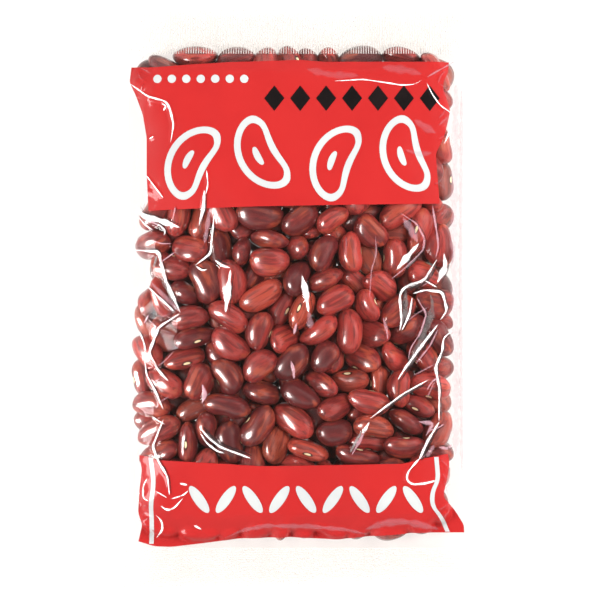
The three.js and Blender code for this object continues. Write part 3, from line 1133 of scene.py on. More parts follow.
@dataclass(frozen=True)
class SmallFolds:
    """The many short folds where the film is gathered along the bag's two sides.

    Where two numbers stand for the reach and the length, the first holds beside the window and the
    second beside the printed fields. The folds are faint there.
    """

    plan: BagPlan
    count: int = 50
    reach: Point = (9.0, 2.5)
    lengths: Point = (11.0, 6.0)
    shortest: float = 4.0
    window: Point = (-56.0, 32.0)
    clear_of_ends: Point = (3.0, 4.0)
    rim: float = 1.0
    headings: Point = (0.25, 1.25)
    bend: float = 0.35
    narrow: Point = (0.6, 0.9)
    wide: Point = (0.8, 1.5)
    rises: Point = (0.2, 0.5)
    gleams: Point = (0.3, 0.75)
    covers: Point = (0.35, 0.95)
    shade_share: float = 0.7
    faint: float = 0.2
    seed: int = 11

    def folds(self) -> tuple[Fold, ...]:
        """Draw the folds.

        Returns:
            The folds, half of them along each side.
        """
        rng = np.random.default_rng(self.seed)
        return tuple(self._fold(-1 if number % 2 else 1, rng) for number in range(self.count))

    def _fold(self, side: int, rng: Dice) -> Fold:
        """Draw one fold, which starts near the rim and runs in two stretches towards the middle.

        Args:
            side: -1 for the left side and 1 for the right one.
            rng: The random source.

        Returns:
            The fold.
        """
        plan = self.plan
        rim = plan.fill_left + self.rim if side < 0 else plan.fill_right - self.rim
        y = rng.uniform(plan.fill_foot + self.clear_of_ends[0], plan.fill_head - self.clear_of_ends[1])
        printed = 0 if self.window[0] < y < self.window[1] else 1
        line = [(rim - side * rng.uniform(0.0, self.reach[printed]), y)]
        heading = rng.uniform(*self.headings) * self._either(rng)
        half = rng.uniform(self.shortest, self.lengths[printed]) / 2
        for way in (heading, heading + rng.normal(0.0, self.bend)):
            x, y = line[-1]
            line.append((x - side * math.cos(way) * half, y + math.sin(way) * half))
        flanks = rng.uniform(*self.narrow), rng.uniform(*self.wide)
        left, right = flanks[:: self._either(rng)]
        rise, gleam, cover = (rng.uniform(*among) for among in (self.rises, self.gleams, self.covers))
        if printed:
            return Fold(tuple(line), rise, left, right, gleam=gleam, shade=0.0, cover=cover * self.faint)
        return Fold(tuple(line), rise, left, right, gleam=gleam, shade=self.shade_share * gleam, cover=cover)

    @staticmethod
    def _either(rng: Dice) -> int:
        """Draw 1 or -1."""
        return 1 if rng.random() < 0.5 else -1


@dataclass(frozen=True)
class SealRibs:
    """The fine ribs that the sealing jaws press in: upright at the head and level at the foot."""

    pitch: float = 0.9
    height: float = 0.11
    head: Point = (88.9, 103.0)
    foot: Point = (-104.2, -89.5)
    ease: float = 0.8

    def lift(self, x: Array, y: Array) -> Array:
        """Tell how far the ribs raise the film.

        Args:
            x: Places across.
            y: Places along.

        Returns:
            How far each place is raised.
        """
        head, foot = (
            np.clip(np.minimum(y - low, high - y) / self.ease, 0.0, 1.0)
            for low, high in (self.head, self.foot)
        )
        turn = 2 * np.pi / self.pitch
        return self.height * (head * np.sin(turn * x) + foot * np.sin(turn * y))


@dataclass
class Panel:
    """One film panel: the sheet as it is drawn down, its folds and its seal ribs."""

    sheet: HeightMap
    folds: tuple[Fold, ...] = ()
    ribs: SealRibs | None = None
    wave: float = 0.10

    def height(self, x: Array, y: Array) -> Array:
        """Give the panel's height over the floor.

        Args:
            x: Places across.
            y: Places along.

        Returns:
            Heights in millimetres.
        """
        z = self.sheet.sample(x, y)
        for fold in self.folds:
            z = z + fold.lift(x, y)
        if self.ribs is None:
            return z
        ripple = np.sin(x / 6.1 + 1.7 * np.sin(y / 14.0)) * np.sin(y / 8.3 + 1.1 * np.sin(x / 17.0))
        return z + self.ribs.lift(x, y) + self.wave * ripple


# Finishes.


@dataclass
class NodeBench:
    """A material's node tree, with short ways to add and join nodes."""

    tree: bpy.types.NodeTree
    material: Finish | None = None

    @classmethod
    def fresh(cls, name: str) -> NodeBench:
        """Make an empty node material."""
        material = bpy.data.materials.new(name)
        material.use_nodes = True
        material.node_tree.nodes.clear()
        return cls(material.node_tree, material)

    def feed(self, slot: Socket, value: object) -> None:
        """Link or set an input.

        Args:
            slot: The input.
            value: Another node's output, a number, a vector or a colour.
        """
        if isinstance(value, Socket):
            self.tree.links.new(value, slot)
        else:
            slot.default_value = (*value, 1.0) if slot.type == "RGBA" else value

    def add(self, kind: str, **values: object) -> bpy.types.Node:
        """Add a node.

        Args:
            kind: The node's type.
            values: Its properties, and what its inputs are fed, by name with _ for a space.

        Returns:
            The node.
        """
        node = self.tree.nodes.new(kind)
        for key, value in values.items():
            if hasattr(node, key):
                setattr(node, key, value)
            else:
                self.feed(node.inputs[key.replace("_", " ")], value)
        return node

    def maths(self, operation: str, *inputs: object) -> Socket:
        """Add a maths node.

        Args:
            operation: What it works out.
            inputs: Numbers or outputs of other nodes.

        Returns:
            Its output.
        """
        node = self.add("ShaderNodeMath", operation=operation)
        for slot, value in zip(node.inputs, inputs):
            self.feed(slot, value)
        return node.outputs[0]

    def blend(self, share: Socket, one: object, two: object) -> Socket:
        """Mix two colours.

        Args:
            share: How much of the second.
            one: The first colour, or an output.
            two: The second colour, or an output.

        Returns:
            The mixed colour.
        """
        node = self.add("ShaderNodeMix", data_type="RGBA")
        for number, value in ((0, share), (6, one), (7, two)):
            self.feed(node.inputs[number], value)
        return node.outputs[2]

    def ramp(self, value: Socket, low: float, high: float, least: float = 0.0) -> Socket:
        """Stretch a value smoothly.

        Args:
            value: The value.
            low: What becomes the least.
            high: What becomes 1.
            least: The least that comes out.

        Returns:
            The stretched value.
        """
        node = self.add("ShaderNodeMapRange", interpolation_type="SMOOTHSTEP", Value=value)
        for name, number in (("From Min", low), ("From Max", high), ("To Min", least)):
            node.inputs[name].default_value = number
        return node.outputs[0]

    def where(self, kind: str = "Object") -> Socket:
        """Give the place on the object, in metres, or another kind of place."""
        return self.add("ShaderNodeTexCoord").outputs[kind]

    def written(self, name: str, kind: str = "Fac") -> Socket:
        """Read what is written into the mesh."""
        return self.add("ShaderNodeAttribute", attribute_name=name).outputs[kind]

    def split(self, vector: Socket) -> bpy.types.NodeOutputs:
        """Take a vector apart."""
        return self.add("ShaderNodeSeparateXYZ", Vector=vector).outputs

    def noise(self, where: Socket, **values: object) -> Socket:
        """Add noise over a place."""
        return self.add("ShaderNodeTexNoise", Vector=where, **values).outputs[0]

    def relief(self, height: Socket, strength: float, distance: float) -> Socket:
        """Turn a height into fine relief, whose depth is in metres."""
        return self.add("ShaderNodeBump", Strength=strength, Distance=distance, Height=height).outputs[0]

    def layers(self, share: object, one: bpy.types.Node, two: bpy.types.Node) -> bpy.types.Node:
        """Mix two surfaces.

        Args:
            share: How much of the second, as a number or an output.
            one: The first surface.
            two: The second surface.

        Returns:
            The mixed surface.
        """
        node = self.add("ShaderNodeMixShader")
        for slot, value in zip(node.inputs, (share, one.outputs[0], two.outputs[0])):
            self.feed(slot, value)
        return node

    def finish(self, surface: bpy.types.Node) -> Finish:
        """Join the surface to the output and give back the material."""
        self.add("ShaderNodeOutputMaterial", Surface=surface.outputs[0])
        return self.material


@dataclass(frozen=True)
class Grain:
    """Noise that is drawn out along a bean, the span over which it shows, and how strongly."""

    stretch: Triple
    scale: float
    detail: float = 2.0
    roughness: float = 0.5
    distortion: float = 0.0
    shows: Point = (0.50, 0.60)
    strength: float = 0.5

    def noise(self, bench: NodeBench, place: Socket, tone: Socket) -> Socket:
        """Add the noise, which differs from bean to bean.

        Args:
            bench: The material's bench.
            place: The bean's own coordinates.
            tone: The bean's own tone.

        Returns:
            The noise.
        """
        drawn = bench.add("ShaderNodeMapping", Vector=place, Scale=self.stretch).outputs[0]
        return bench.noise(
            drawn, noise_dimensions="4D", W=bench.maths("MULTIPLY", tone, 37.0), Scale=self.scale,
            Detail=self.detail, Roughness=self.roughness, Distortion=self.distortion,
        )

    def share(self, bench: NodeBench, place: Socket, tone: Socket) -> Socket:
        """Tell how much of the grain's colour each place has, from the same things as the noise."""
        return bench.maths("MULTIPLY", bench.ramp(self.noise(bench, place, tone), *self.shows), self.strength)


@dataclass(frozen=True)
class BeanSkin:
    """The polished seed coat: red with darker mottling and lines, and a cream seed scar.

    Beans near the bottom of the bag are darkened to grey-brown as painted shade.
    """

    bright: Color = (0.425, 0.048, 0.039)
    deep: Color = (0.100, 0.014, 0.016)
    tan: Color = (0.46, 0.088, 0.042)
    mottle: Grain = Grain((0.13, 0.40, 0.40), 1.5, 4.0, 0.62, shows=(0.02, 0.98), strength=1.1)
    patches: Grain = Grain((0.10, 0.22, 0.22), 1.1, distortion=0.3, shows=(0.50, 0.68), strength=0.7)
    bands: Grain = Grain((0.016, 0.30, 0.30), 2.3, 1.5, strength=0.6)
    lines: Grain = Grain((0.045, 0.55, 0.55), 4.6, 3.0, distortion=0.5, shows=(0.52, 0.66))
    scar: Color = (0.98, 0.86, 0.52)
    scar_rim: Color = (0.035, 0.008, 0.008)
    scar_half: Point = (1.35, 0.48)
    scar_span: Point = (1.0, 0.8)
    rim_span: Point = (1.75, 1.25)
    rim_cover: float = 0.9
    seam_side: Point = (-2.2, -3.0)
    depth_shade_color: Color = (0.060, 0.042, 0.034)
    depth_shade_share: float = 0.65
    depth_shade_heights: Point = (0.0095, 0.0030)
    relief: Point = (0.12, 0.0002)
    roughness: float = 0.30
    specular: float = 0.5
    coat: float = 1.0
    coat_roughness: float = 0.15

    def material(self) -> Finish:
        """Make the material. It reads each bean's own coordinates and tone from its mesh."""
        bench = NodeBench.fresh("bean_skin")
        place, tone = bench.written("bean_place", "Vector"), bench.written("bean_tone")
        mottle = self.mottle.noise(bench, place, tone)
        lift = bench.maths("MULTIPLY", bench.maths("SUBTRACT", mottle, 0.5), self.mottle.strength)
        toned = bench.ramp(bench.maths("ADD", tone, lift), *self.mottle.shows)
        body = bench.blend(toned, self.deep, self.bright)
        patched = self.patches.share(bench, place, tone)
        body = bench.blend(bench.maths("MAXIMUM", patched, bench.written("bean_tan")), body, self.tan)
        for grain in (self.bands, self.lines):
            body = bench.blend(grain.share(bench, place, tone), body, self.deep)
        # Painted shade: the skin turns grey-brown towards the floor, where the heap is deep.
        low = bench.ramp(bench.split(bench.where())["Z"], *self.depth_shade_heights)
        body = bench.blend(bench.maths("MULTIPLY", low, self.depth_shade_share), body, self.depth_shade_color)
        body = self._scarred(bench, place, body)
        skin = bench.add(
            "ShaderNodeBsdfPrincipled", Base_Color=body, Roughness=self.roughness,
            Specular_IOR_Level=self.specular, Coat_Weight=self.coat, Coat_Roughness=self.coat_roughness,
            Normal=bench.relief(mottle, *self.relief),
        )
        return bench.finish(skin)

    def _scarred(self, bench: NodeBench, place: Socket, body: Socket) -> Socket:
        """Add the oval seed scar and its dark rim on the bean's seam side.

        Args:
            bench: The material's bench.
            place: The bean's own coordinates.
            body: The bean's colour.

        Returns:
            The colour with the scar on it.
        """
        x, y, z = bench.split(place)
        ways = [bench.maths("DIVIDE", at, half) for at, half in zip((x, z), self.scar_half)]
        squares = [bench.maths("MULTIPLY", way, way) for way in ways]
        gap = bench.maths("SQRT", bench.maths("ADD", *squares))
        side = bench.ramp(y, *self.seam_side)
        rim = bench.maths("MULTIPLY", bench.ramp(gap, *self.rim_span), side)
        scar = bench.maths("MULTIPLY", bench.ramp(gap, *self.scar_span), side)
        body = bench.blend(bench.maths("MULTIPLY", rim, self.rim_cover), body, self.scar_rim)
        return bench.blend(scar, body, self.scar)


@dataclass(frozen=True)
class ClearFilm:
    """Glossy clear film: it lets light through and mirrors a little of the room."""

    tint: Color = (0.955, 0.920, 0.905)
    milk: Color = (0.50, 0.450, 0.430)
    index: float = 1.23
    haze: float = 0.003
    haze_color: Color = (0.62, 0.66, 0.55)
    gloss_roughness: float = 0.06
    ripple: float = 0.00004
    rib_pitch: float = 0.0009
    rib_cover: float = 0.72
    rib_span: Point = (0.0, 0.6)
    rib_breaks: Point = (0.22, 0.52)

    def material(self, name: str, ribs: Ribs | None = None) -> Finish:
        """Make the material.

        Args:
            name: Its name.
            ribs: Which way its milky ribs change, for film that is sealed.

        Returns:
            The material.
        """
        bench = NodeBench.fresh(name)
        where = bench.where()
        broad = bench.noise(where, Scale=260.0, Detail=3.0, Roughness=0.55, Distortion=0.7)
        ripple = bench.relief(broad, 1.0, self.ripple)
        clear = bench.add("ShaderNodeBsdfTransparent", Color=self.tint)
        haze = bench.add("ShaderNodeBsdfDiffuse", Color=self.haze_color)
        gloss = bench.add("ShaderNodeBsdfGlossy", Roughness=self.gloss_roughness, Normal=ripple)
        mirrored = bench.add("ShaderNodeFresnel", IOR=self.index, Normal=ripple).outputs[0]
        film = bench.layers(mirrored, bench.layers(self.haze, clear, haze), gloss)
        if ribs:
            milk = bench.add("ShaderNodeBsdfDiffuse", Color=self.milk)
            film = bench.layers(self._ribbing(bench, where, ribs), film, milk)
        return bench.finish(film)

    def _ribbing(self, bench: NodeBench, where: Socket, ribs: Ribs) -> Socket:
        """Add the factor of the milky ribs, which are uneven and broken here and there.

        Args:
            bench: The material's bench.
            where: The place on the film, in metres.
            ribs: Which way the ribs change.

        Returns:
            How far each place is hidden.
        """
        turns = bench.maths("MULTIPLY", bench.split(where)[ribs.value], 2 * math.pi / self.rib_pitch)
        crest = bench.ramp(bench.maths("SINE", turns), *self.rib_span)
        share = bench.ramp(bench.noise(where, Scale=210.0, Detail=3.0), *self.rib_breaks)
        return bench.maths("MULTIPLY", bench.maths("MULTIPLY", crest, share), self.rib_cover)


@dataclass(frozen=True)
class PaintedCreaseLight:
    """Painted light on a strip along a film crease: a highlight, sheen or shade colour that hides what is
    behind it where its mesh says so.
    """

    name: str
    color: Color
    roughness: float = 0.35
    least: float = 0.55
    detail: float = 4.0
    breaks: Point = (0.38, 0.56)

    def material(self) -> Finish:
        """Make the material. It reads how far each place is hidden from its mesh."""
        # Painted highlight, painted sheen or painted shade, by the colour it is given.
        bench = NodeBench.fresh(self.name)
        uneven = bench.noise(bench.where(), Scale=620.0, Detail=self.detail, Roughness=0.6)
        broken = bench.ramp(uneven, *self.breaks, self.least)
        hidden = bench.maths("MULTIPLY", bench.written("painted_light_cover"), broken)
        film = bench.add("ShaderNodeBsdfPrincipled", Roughness=self.roughness, Base_Color=self.color)
        return bench.finish(bench.layers(hidden, bench.add("ShaderNodeBsdfTransparent"), film))


@dataclass(frozen=True)
class PrintedInk:
    """Ink on the inside of glossy film."""

    name: str
    color: Color
    shade: Color
    roughness: float = 0.5
    specular: float = 0.05
    coat: float = 0.2
    coat_roughness: float = 0.07
    cloudy: Point = (0.35, 0.7)
    relief: Point = (0.5, 0.00005)

    def material(self) -> Finish:
        """Make the material: slightly uneven ink under a gloss coat."""
        bench = NodeBench.fresh(self.name)
        where = bench.where()
        cloud = bench.noise(where, Scale=48.0, Detail=4.0, Roughness=0.6)
        grain = bench.noise(where, Scale=240.0, Detail=3.0)
        ink = bench.add(
            "ShaderNodeBsdfPrincipled", Roughness=self.roughness, Specular_IOR_Level=self.specular,
            Coat_Weight=self.coat, Coat_Roughness=self.coat_roughness,
            Base_Color=bench.blend(bench.ramp(cloud, *self.cloudy), self.color, self.shade),
            Normal=bench.relief(grain, *self.relief),
        )
        return bench.finish(ink)


# The pieces.


@dataclass
class BeanHeap:
    """All the beans: the whole ones as one mesh, and the small ones that have settled under them."""

    plan: BagPlan
    shape: BeanShape = BeanShape()
    small: BeanShape = BeanShape(9.5, 6.6, 5.2, rings=12, sides=12)
    least_height: float = 0.14
    most_small: int = 90
    gap_share: float = 0.93
    wall_clearance: float = 4.0
    gap_pitch: float = 0.7
    gap_area: tuple[Point, Point] = ((-62.0, 62.0), (-90.0, 94.0))
    corner_beans: tuple[Triple, ...] = ((-55.0, 80.4, 62.0), (50.0, 81.2, -62.0))
    tan_share: float = 0.12
    seed: int = 5
    tree: BVHTree | None = None

    def build(self) -> list[Piece]:
        """Pack the beans and make their meshes, with each bean's own coordinates and tone on them.

        Returns:
            The whole beans and the small ones.
        """
        place, turn, build = BeanPacker(self.plan, self.shape).pack()
        rng = np.random.default_rng(self.seed)
        x, y, degrees = np.array(self.corner_beans).T
        flat = np.zeros(len(x))
        place = np.concatenate([place, np.stack([x, y, flat + self.shape.thickness / 2], -1)])
        turn = np.concatenate([turn, rotation(np.radians(degrees), flat, flat)])
        build = np.concatenate([build, BeanShape.builds(len(x), rng)])
        skin = BeanSkin().material()
        whole, spots, faces = self._piece("beans_loose", self.shape, place, turn, build, rng, skin)
        gaps = self._gaps(BVHTree.FromPolygons(spots.tolist(), faces.tolist()))
        flat = np.zeros(len(gaps))
        yaw = rotation(rng.uniform(0, np.pi, len(gaps)), flat, flat)
        builds = BeanShape.builds(len(gaps), rng)
        small, more, others = self._piece("beans_small", self.small, gaps, yaw, builds, rng, skin)
        points, every = MeshMaker.joined([(spots, faces), (more, others)])
        self.tree = BVHTree.FromPolygons(points.tolist(), every.tolist())
        return [whole, small]

    def _piece(
        self, name: str, shape: BeanShape, place: Array, turn: Array, build: Array,
        rng: Dice, skin: Finish,
    ) -> tuple[Piece, Array, Array]:
        """Make one piece of many beans.

        Args:
            name: Its name.
            shape: The beans' usual shape.
            place: Each bean's middle.
            turn: Each bean's rotation.
            build: Each bean's build.
            rng: The random source.
            skin: The beans' material.

        Returns:
            The piece, its points and its faces.
        """
        points, faces = shape.surfaces(build), shape.faces()
        spots = np.einsum("nij,nmj->nmi", turn, points) + place[:, None, :]
        spots[..., 2] += np.maximum(0.0, self.least_height - spots[..., 2].min(1))[:, None]
        count, each = points.shape[:2]
        every = (faces[None, :, :] + (np.arange(count) * each)[:, None, None]).reshape(-1, 4)
        spots = spots.reshape(-1, 3)
        piece = MeshMaker().build(name, spots, every, skin)
        own = piece.data.attributes.new("bean_place", "FLOAT_VECTOR", "POINT")
        own.data.foreach_set("vector", points.astype(np.float32).ravel())
        tone = np.clip(rng.normal(0.56, 0.30, count), 0.02, 1.0)
        tan = np.where(rng.random(count) < self.tan_share, rng.uniform(0.3, 0.7, count), 0.0)
        MeshMaker.mark(piece, "bean_tone", np.repeat(tone, each))
        MeshMaker.mark(piece, "bean_tan", np.repeat(tan, each))
        return piece, spots, every

    def _gaps(self, tree: BVHTree) -> Array:
        """Find the gaps that show the floor, where small beans have settled.

        Args:
            tree: The whole beans' skins.

        Returns:
            The middles of the small beans, widest gap first.
        """
        ranges = [np.arange(low, high, self.gap_pitch) for low, high in self.gap_area]
        x, y = (axis.ravel() for axis in np.meshgrid(*ranges))
        left_wall, right_wall = self.plan.walls(y)
        inside = self.plan.share(x, y) < self.gap_share
        inside &= (x > left_wall + self.wall_clearance) & (x < right_wall - self.wall_clearance)
        seen = [
            (px, py)
            for px, py in zip(x[inside], y[inside])
            if tree.ray_cast(Vector((px, py, RAY_START)), Vector((0, 0, -1)), RAY_LENGTH)[0] is None
        ]
        left = np.array(seen).reshape(-1, 2)
        found: list[Array] = []
        while len(left) and len(found) < self.most_small:
            near = np.linalg.norm(left[:, None] - left[None], axis=-1) < self.small.width / 2
            widest = near[near.sum(1).argmax()]
            found.append(left[widest].mean(0))
            left = left[~widest]
        LOG.info("%d of %d spots in gaps are still open", len(left), len(seen))
        height = self.least_height + self.small.thickness / 2
        return np.array([(px, py, height) for px, py in found]).reshape(-1, 3)


@dataclass(frozen=True)
class Strip:
    """A stretch of a film panel, from one side edge to the other."""

    name: str
    foot: float | None
    head: float | None
    pitch: Point

    def grid(self, plan: BagPlan) -> Pair:
        """Spread points over the strip.

        Args:
            plan: The bag, whose foot and head edges stand in for ends that are not given.

        Returns:
            The points' places across and along, as grids.
        """
        low = -plan.film_height / 2 if self.foot is None else self.foot
        high = plan.film_height / 2 if self.head is None else self.head
        columns = int(round(plan.film_width / self.pitch[0])) + 1
        rows = int(round((high - low) / self.pitch[1])) + 1
        u, v = np.meshgrid(np.linspace(0, 1, columns), np.linspace(0, 1, rows))
        rough_y = low + (high - low) * v
        left, right = plan.edge(rough_y, -1), plan.edge(rough_y, 1)
        x = left + (right - left) * u
        foot = plan.foot(x) if self.foot is None else low
        return x, foot + (high - foot) * v


@dataclass
class FilmBag:
    """The two clear panels, cut into strips that are as fine as what shows in them."""

    plan: BagPlan
    front: Panel
    back: Panel
    front_strips: tuple[Strip, ...] = (
        Strip("film_front_foot_seal", None, -89.3, (0.9, 0.22)),
        Strip("film_front_foot", -89.3, -60.0, (0.45, 0.45)),
        Strip("film_front_window", -60.0, 34.0, (0.37, 0.37)),
        Strip("film_front_head", 34.0, 88.7, (0.45, 0.45)),
        Strip("film_front_head_seal", 88.7, None, (0.22, 0.6)),
    )
    back_strip: Strip = Strip("film_back", None, None, (1.0, 1.0))
    cream: Color = (0.985, 0.970, 0.930)

    def build(self) -> list[Piece]:
        """Make the strips of both panels.

        Returns:
            The pieces of film.
        """
        clear = ClearFilm().material("clear_film")
        sealed = {
            "film_front_foot_seal": ClearFilm(tint=self.cream).material("foot_seal_film", Ribs.ALONG),
            "film_front_head_seal": ClearFilm(tint=self.cream).material("head_seal_film", Ribs.ACROSS),
        }
        pieces = [
            self._strip(strip, self.front, sealed.get(strip.name, clear)) for strip in self.front_strips
        ]
        pieces.append(self._strip(self.back_strip, self.back, clear))
        return pieces

    def _strip(self, strip: Strip, panel: Panel, material: Finish) -> Piece:
        """Make one strip of film."""
        x, y = strip.grid(self.plan)
        return MeshMaker().sheet(strip.name, [x, y, panel.height(x, y)], material)


@dataclass
class CreaseLines:
    """The painted highlights and painted sheens on the crests of the folds, and the painted shade beside
    them.

    A line is a strip five points wide. Across it, each point has its share of the width and of the
    cover, and its width swells and shrinks in waves.
    """

    panel: Panel
    folds: tuple[Fold, ...]
    grey_shade_folds: tuple[Fold, ...]
    pitch: float = 0.4
    lift: float = 0.28
    from_key: Point = (0.95, 0.31)
    unevenness: float = 0.3
    rounding: float = 1.4
    sheen_below: float = 0.85
    beside: float = 0.45
    across: tuple[float, ...] = (-0.5, -0.28, 0.0, 0.28, 0.5)
    covers: tuple[float, ...] = (0.0, 0.85, 1.0, 0.85, 0.0)
    wave_sizes: Triple = (0.7, 1.3, 2.9)
    seed: int = 3

    def build(self) -> list[Piece]:
        """Make one piece each for the painted highlights, the painted sheens, the grey painted shade and the
        dark painted shade.

        Returns:
            The pieces.
        """
        rng = np.random.default_rng(self.seed)
        phases = rng.uniform(0, 2 * np.pi, (len(self.folds), 3))
        bright, sheen_lines, dark = [], [], []
        for fold, phase in zip(self.folds, phases):
            crest = self._line(fold, phase, 0.0, fold.gleam)
            # Crests with little cover get a pink painted sheen, the rest a white painted highlight.
            (sheen_lines if fold.cover < self.sheen_below else bright).append(crest)
            # Painted shade beside the crest, on the side away from the key light.
            if fold.shade:
                dark.append(self._line(fold, phase, self.beside * (fold.gleam + fold.shade), fold.shade))
        # Grey painted shade where the film lies doubled.
        grey_shade_lines = [self._line(fold, phase, 0.0, fold.gleam) for fold, phase in zip(self.grey_shade_folds, phases)]
        white = PaintedCreaseLight("painted_highlight_crease", (0.95, 0.92, 0.92)).material()
        pink = PaintedCreaseLight("painted_sheen_crease", (0.46, 0.26, 0.30), least=0.8, detail=1.0).material()
        grey = PaintedCreaseLight("painted_grey_shade_crease", (0.105, 0.082, 0.080), least=0.7, detail=2.0).material()
        black = PaintedCreaseLight("painted_shade_crease", (0.022, 0.009, 0.009)).material()
        return [
            self._piece("crease_lights", bright, white),
            self._piece("crease_painted_sheens", sheen_lines, pink),
            self._piece("crease_painted_grey_shades", grey_shade_lines, grey),
            self._piece("crease_shades", dark, black),
        ]

    def _line(self, fold: Fold, phase: Array, beside: float, width: float) -> Pair:
        """Lay one narrow strip along a fold.

        Args:
            fold: The fold.
            phase: Where the three waves of its uneven width start.
            beside: How far it lies from the crest, on the side that looks away from the key light.
            width: How wide it is.

        Returns:
            Its points, five to a row, and how far each hides what is behind the film.
        """
        steps = max(6, int(fold.length() / self.pitch))
        middle = walked(fold.line, steps, min(self.rounding, fold.length() / 6))
        way = np.gradient(middle, axis=0)
        way /= np.linalg.norm(way, axis=1, keepdims=True)
        normal = np.stack([-way[:, 1], way[:, 0]], -1)
        normal *= np.where(normal @ np.array(self.from_key) < 0, -1.0, 1.0)[:, None]
        share = np.linspace(0.0, 1.0, steps)
        along = share * fold.length()
        waves = sum(np.sin(along / size + start) for size, start in zip(self.wave_sizes, phase))
        wide = width * fold.faded(share) * (1.0 + self.unevenness * waves / 2)
        off = beside + wide[:, None] * np.array(self.across)[None, :]
        flat = middle[:, None, :] + off[:, :, None] * normal[:, None, :]
        z = self.panel.height(flat[..., 0], flat[..., 1]) + self.lift
        cover = fold.cover * np.array(self.covers)[None, :] * np.ones((steps, 1))
        cover[[0, -1]] = 0.0
        return np.concatenate([flat, z[..., None]], -1), cover

    @staticmethod
    def _piece(name: str, lines: list[Pair], material: Finish) -> Piece:
        """Join lines into one piece.

        Args:
            name: The piece's name.
            lines: Each line's points and cover.
            material: Their material.

        Returns:
            The piece.
        """
        parts = [(spots.reshape(-1, 3), MeshMaker.grid_faces(*cover.shape)) for spots, cover in lines]
        piece = MeshMaker().build(name, *MeshMaker.joined(parts), material)
        MeshMaker.mark(piece, "painted_light_cover", np.concatenate([cover.ravel() for _, cover in lines]))
        return piece


@dataclass(frozen=True)
class InkField:
    """A field of red ink with four uneven edges.

    The foot and head edges run from left to right. The side edges run from foot to head, between
    the corners where those end.
    """

    name: str
    foot: tuple[Point, ...]
    head: tuple[Point, ...]
    left: tuple[Point, ...]
    right: tuple[Point, ...]

    def grid(self, pitch: float) -> Pair:
        """Spread points over the field so that its outer rows lie on its edges.

        Args:
            pitch: About how far apart the points are.

        Returns:
            The points' places across and along, as grids.
        """
        columns = int(abs(self.head[-1][0] - self.head[0][0]) / pitch) + 1
        rows = int(abs(self.head[0][1] - self.foot[0][1]) / pitch) + 1
        foot, head = (walked(edge, columns, 1.5)[None] for edge in (self.foot, self.head))
        sides = ((self.foot[end], *edge, self.head[end]) for end, edge in ((0, self.left), (-1, self.right)))
        left, right = (walked(side, rows, 1.2)[:, None] for side in sides)
        u = np.linspace(0, 1, columns)[None, :, None]
        v = np.linspace(0, 1, rows)[:, None, None]
        corners = (1 - u) * (1 - v) * foot[:, :1] + u * (1 - v) * foot[:, -1:]
        corners = corners + (1 - u) * v * head[:, :1] + u * v * head[:, -1:]
        place = (1 - v) * foot + v * head + (1 - u) * left + u * right - corners
        return place[..., 0], place[..., 1]


HEAD_FIELD = InkField(
    "band_head",
    foot=((-53.7, 32.0), (-35.3, 32.8), (-14.4, 33.5), (0.7, 33.8), (50.9, 34.6)),
    head=(
        (-60.1, 83.9), (-50.8, 83.7), (-39.2, 84.6), (-25.2, 85.5), (0.4, 86.4), (10.1, 85.7), (54.4, 85.7),
    ),
    left=((-54.4, 45.4), (-54.4, 58.3), (-55.8, 66.6), (-59.0, 74.9), (-60.8, 78.5)),
    right=(
        (49.9, 46.8), (49.5, 52.6), (52.4, 58.3), (54.0, 64.1), (54.9, 68.4), (52.8, 74.2), (52.0, 77.0),
        (52.8, 79.9), (54.0, 81.5),
    ),
)
FOOT_FIELD = InkField(
    "band_foot",
    foot=(
        (-57.6, -87.1), (-51.8, -88.9), (-45.7, -89.1), (-34.6, -87.8), (-20.9, -86.0), (-2.9, -85.5),
        (14.0, -86.4), (24.5, -85.3), (42.8, -83.9), (60.0, -83.9),
    ),
    head=(
        (-57.2, -55.8), (-53.3, -56.2), (-51.1, -57.4), (-34.6, -58.3), (-12.6, -59.6), (22.0, -59.0),
        (37.8, -58.7), (45.0, -56.9), (54.0, -55.3),
    ),
    left=((-56.2, -81.0), (-57.7, -76.7), (-57.2, -68.4), (-56.2, -61.2)),
    right=((59.9, -81.2), (56.7, -76.0), (52.2, -70.6), (53.5, -65.3), (54.6, -59.0)),
)


def ellipse(middle: Point, half: Point, turn: float, steps: int = 40) -> Array:
    """Make the outline of an ellipse.

    Args:
        middle: Its middle.
        half: Half its length and half its width.
        turn: How far it is turned, in degrees.
        steps: How many points it has.

    Returns:
        The outline's points.
    """
    around = np.arange(steps) * (2 * np.pi / steps)
    return turned(np.stack([half[0] * np.cos(around), half[1] * np.sin(around)], -1), turn) + middle


def kidney(middle: Point, half: Point, turn: float, bend: float, steps: int = 72) -> Array:
    """Make the outline of a kidney bean, which is an oval bent round an arc.

    Args:
        middle: Its middle.
        half: Half its length along the arc and half its width.
        turn: How far it is turned, in degrees.
        bend: The arc's radius.
        steps: How many points it has.

    Returns:
        The outline's points.
    """
    around = np.arange(steps) * (2 * np.pi / steps)
    along = half[0] * np.cos(around) / bend
    out = bend + half[1] * np.sign(np.sin(around)) * np.abs(np.sin(around)) ** 0.8
    return turned(np.stack([out * np.sin(along), out * np.cos(along) - bend], -1), turn) + middle


def turned(points: Array, degrees: float) -> Array:
    """Turn points about the origin."""
    angle = math.radians(degrees)
    return points @ np.array([[math.cos(angle), math.sin(angle)], [-math.sin(angle), math.cos(angle)]])


def ribbon(line: tuple[Point, ...], width: float) -> Array:
    """Make the outline of a narrow rule that follows a line running up or down the bag."""
    points = walked(line, 48, 2.2)
    return np.concatenate([points + (width / 2, 0), (points - (width / 2, 0))[::-1]])


@dataclass(frozen=True)
class Row:
    """A level row of like figures: the first one's middle, their pitch and their number."""

    x: float
    y: float
    pitch: float
    count: int

    def middles(self) -> list[Point]:
        """List the figures' middles."""
        return [(self.x + self.pitch * i, self.y) for i in range(self.count)]


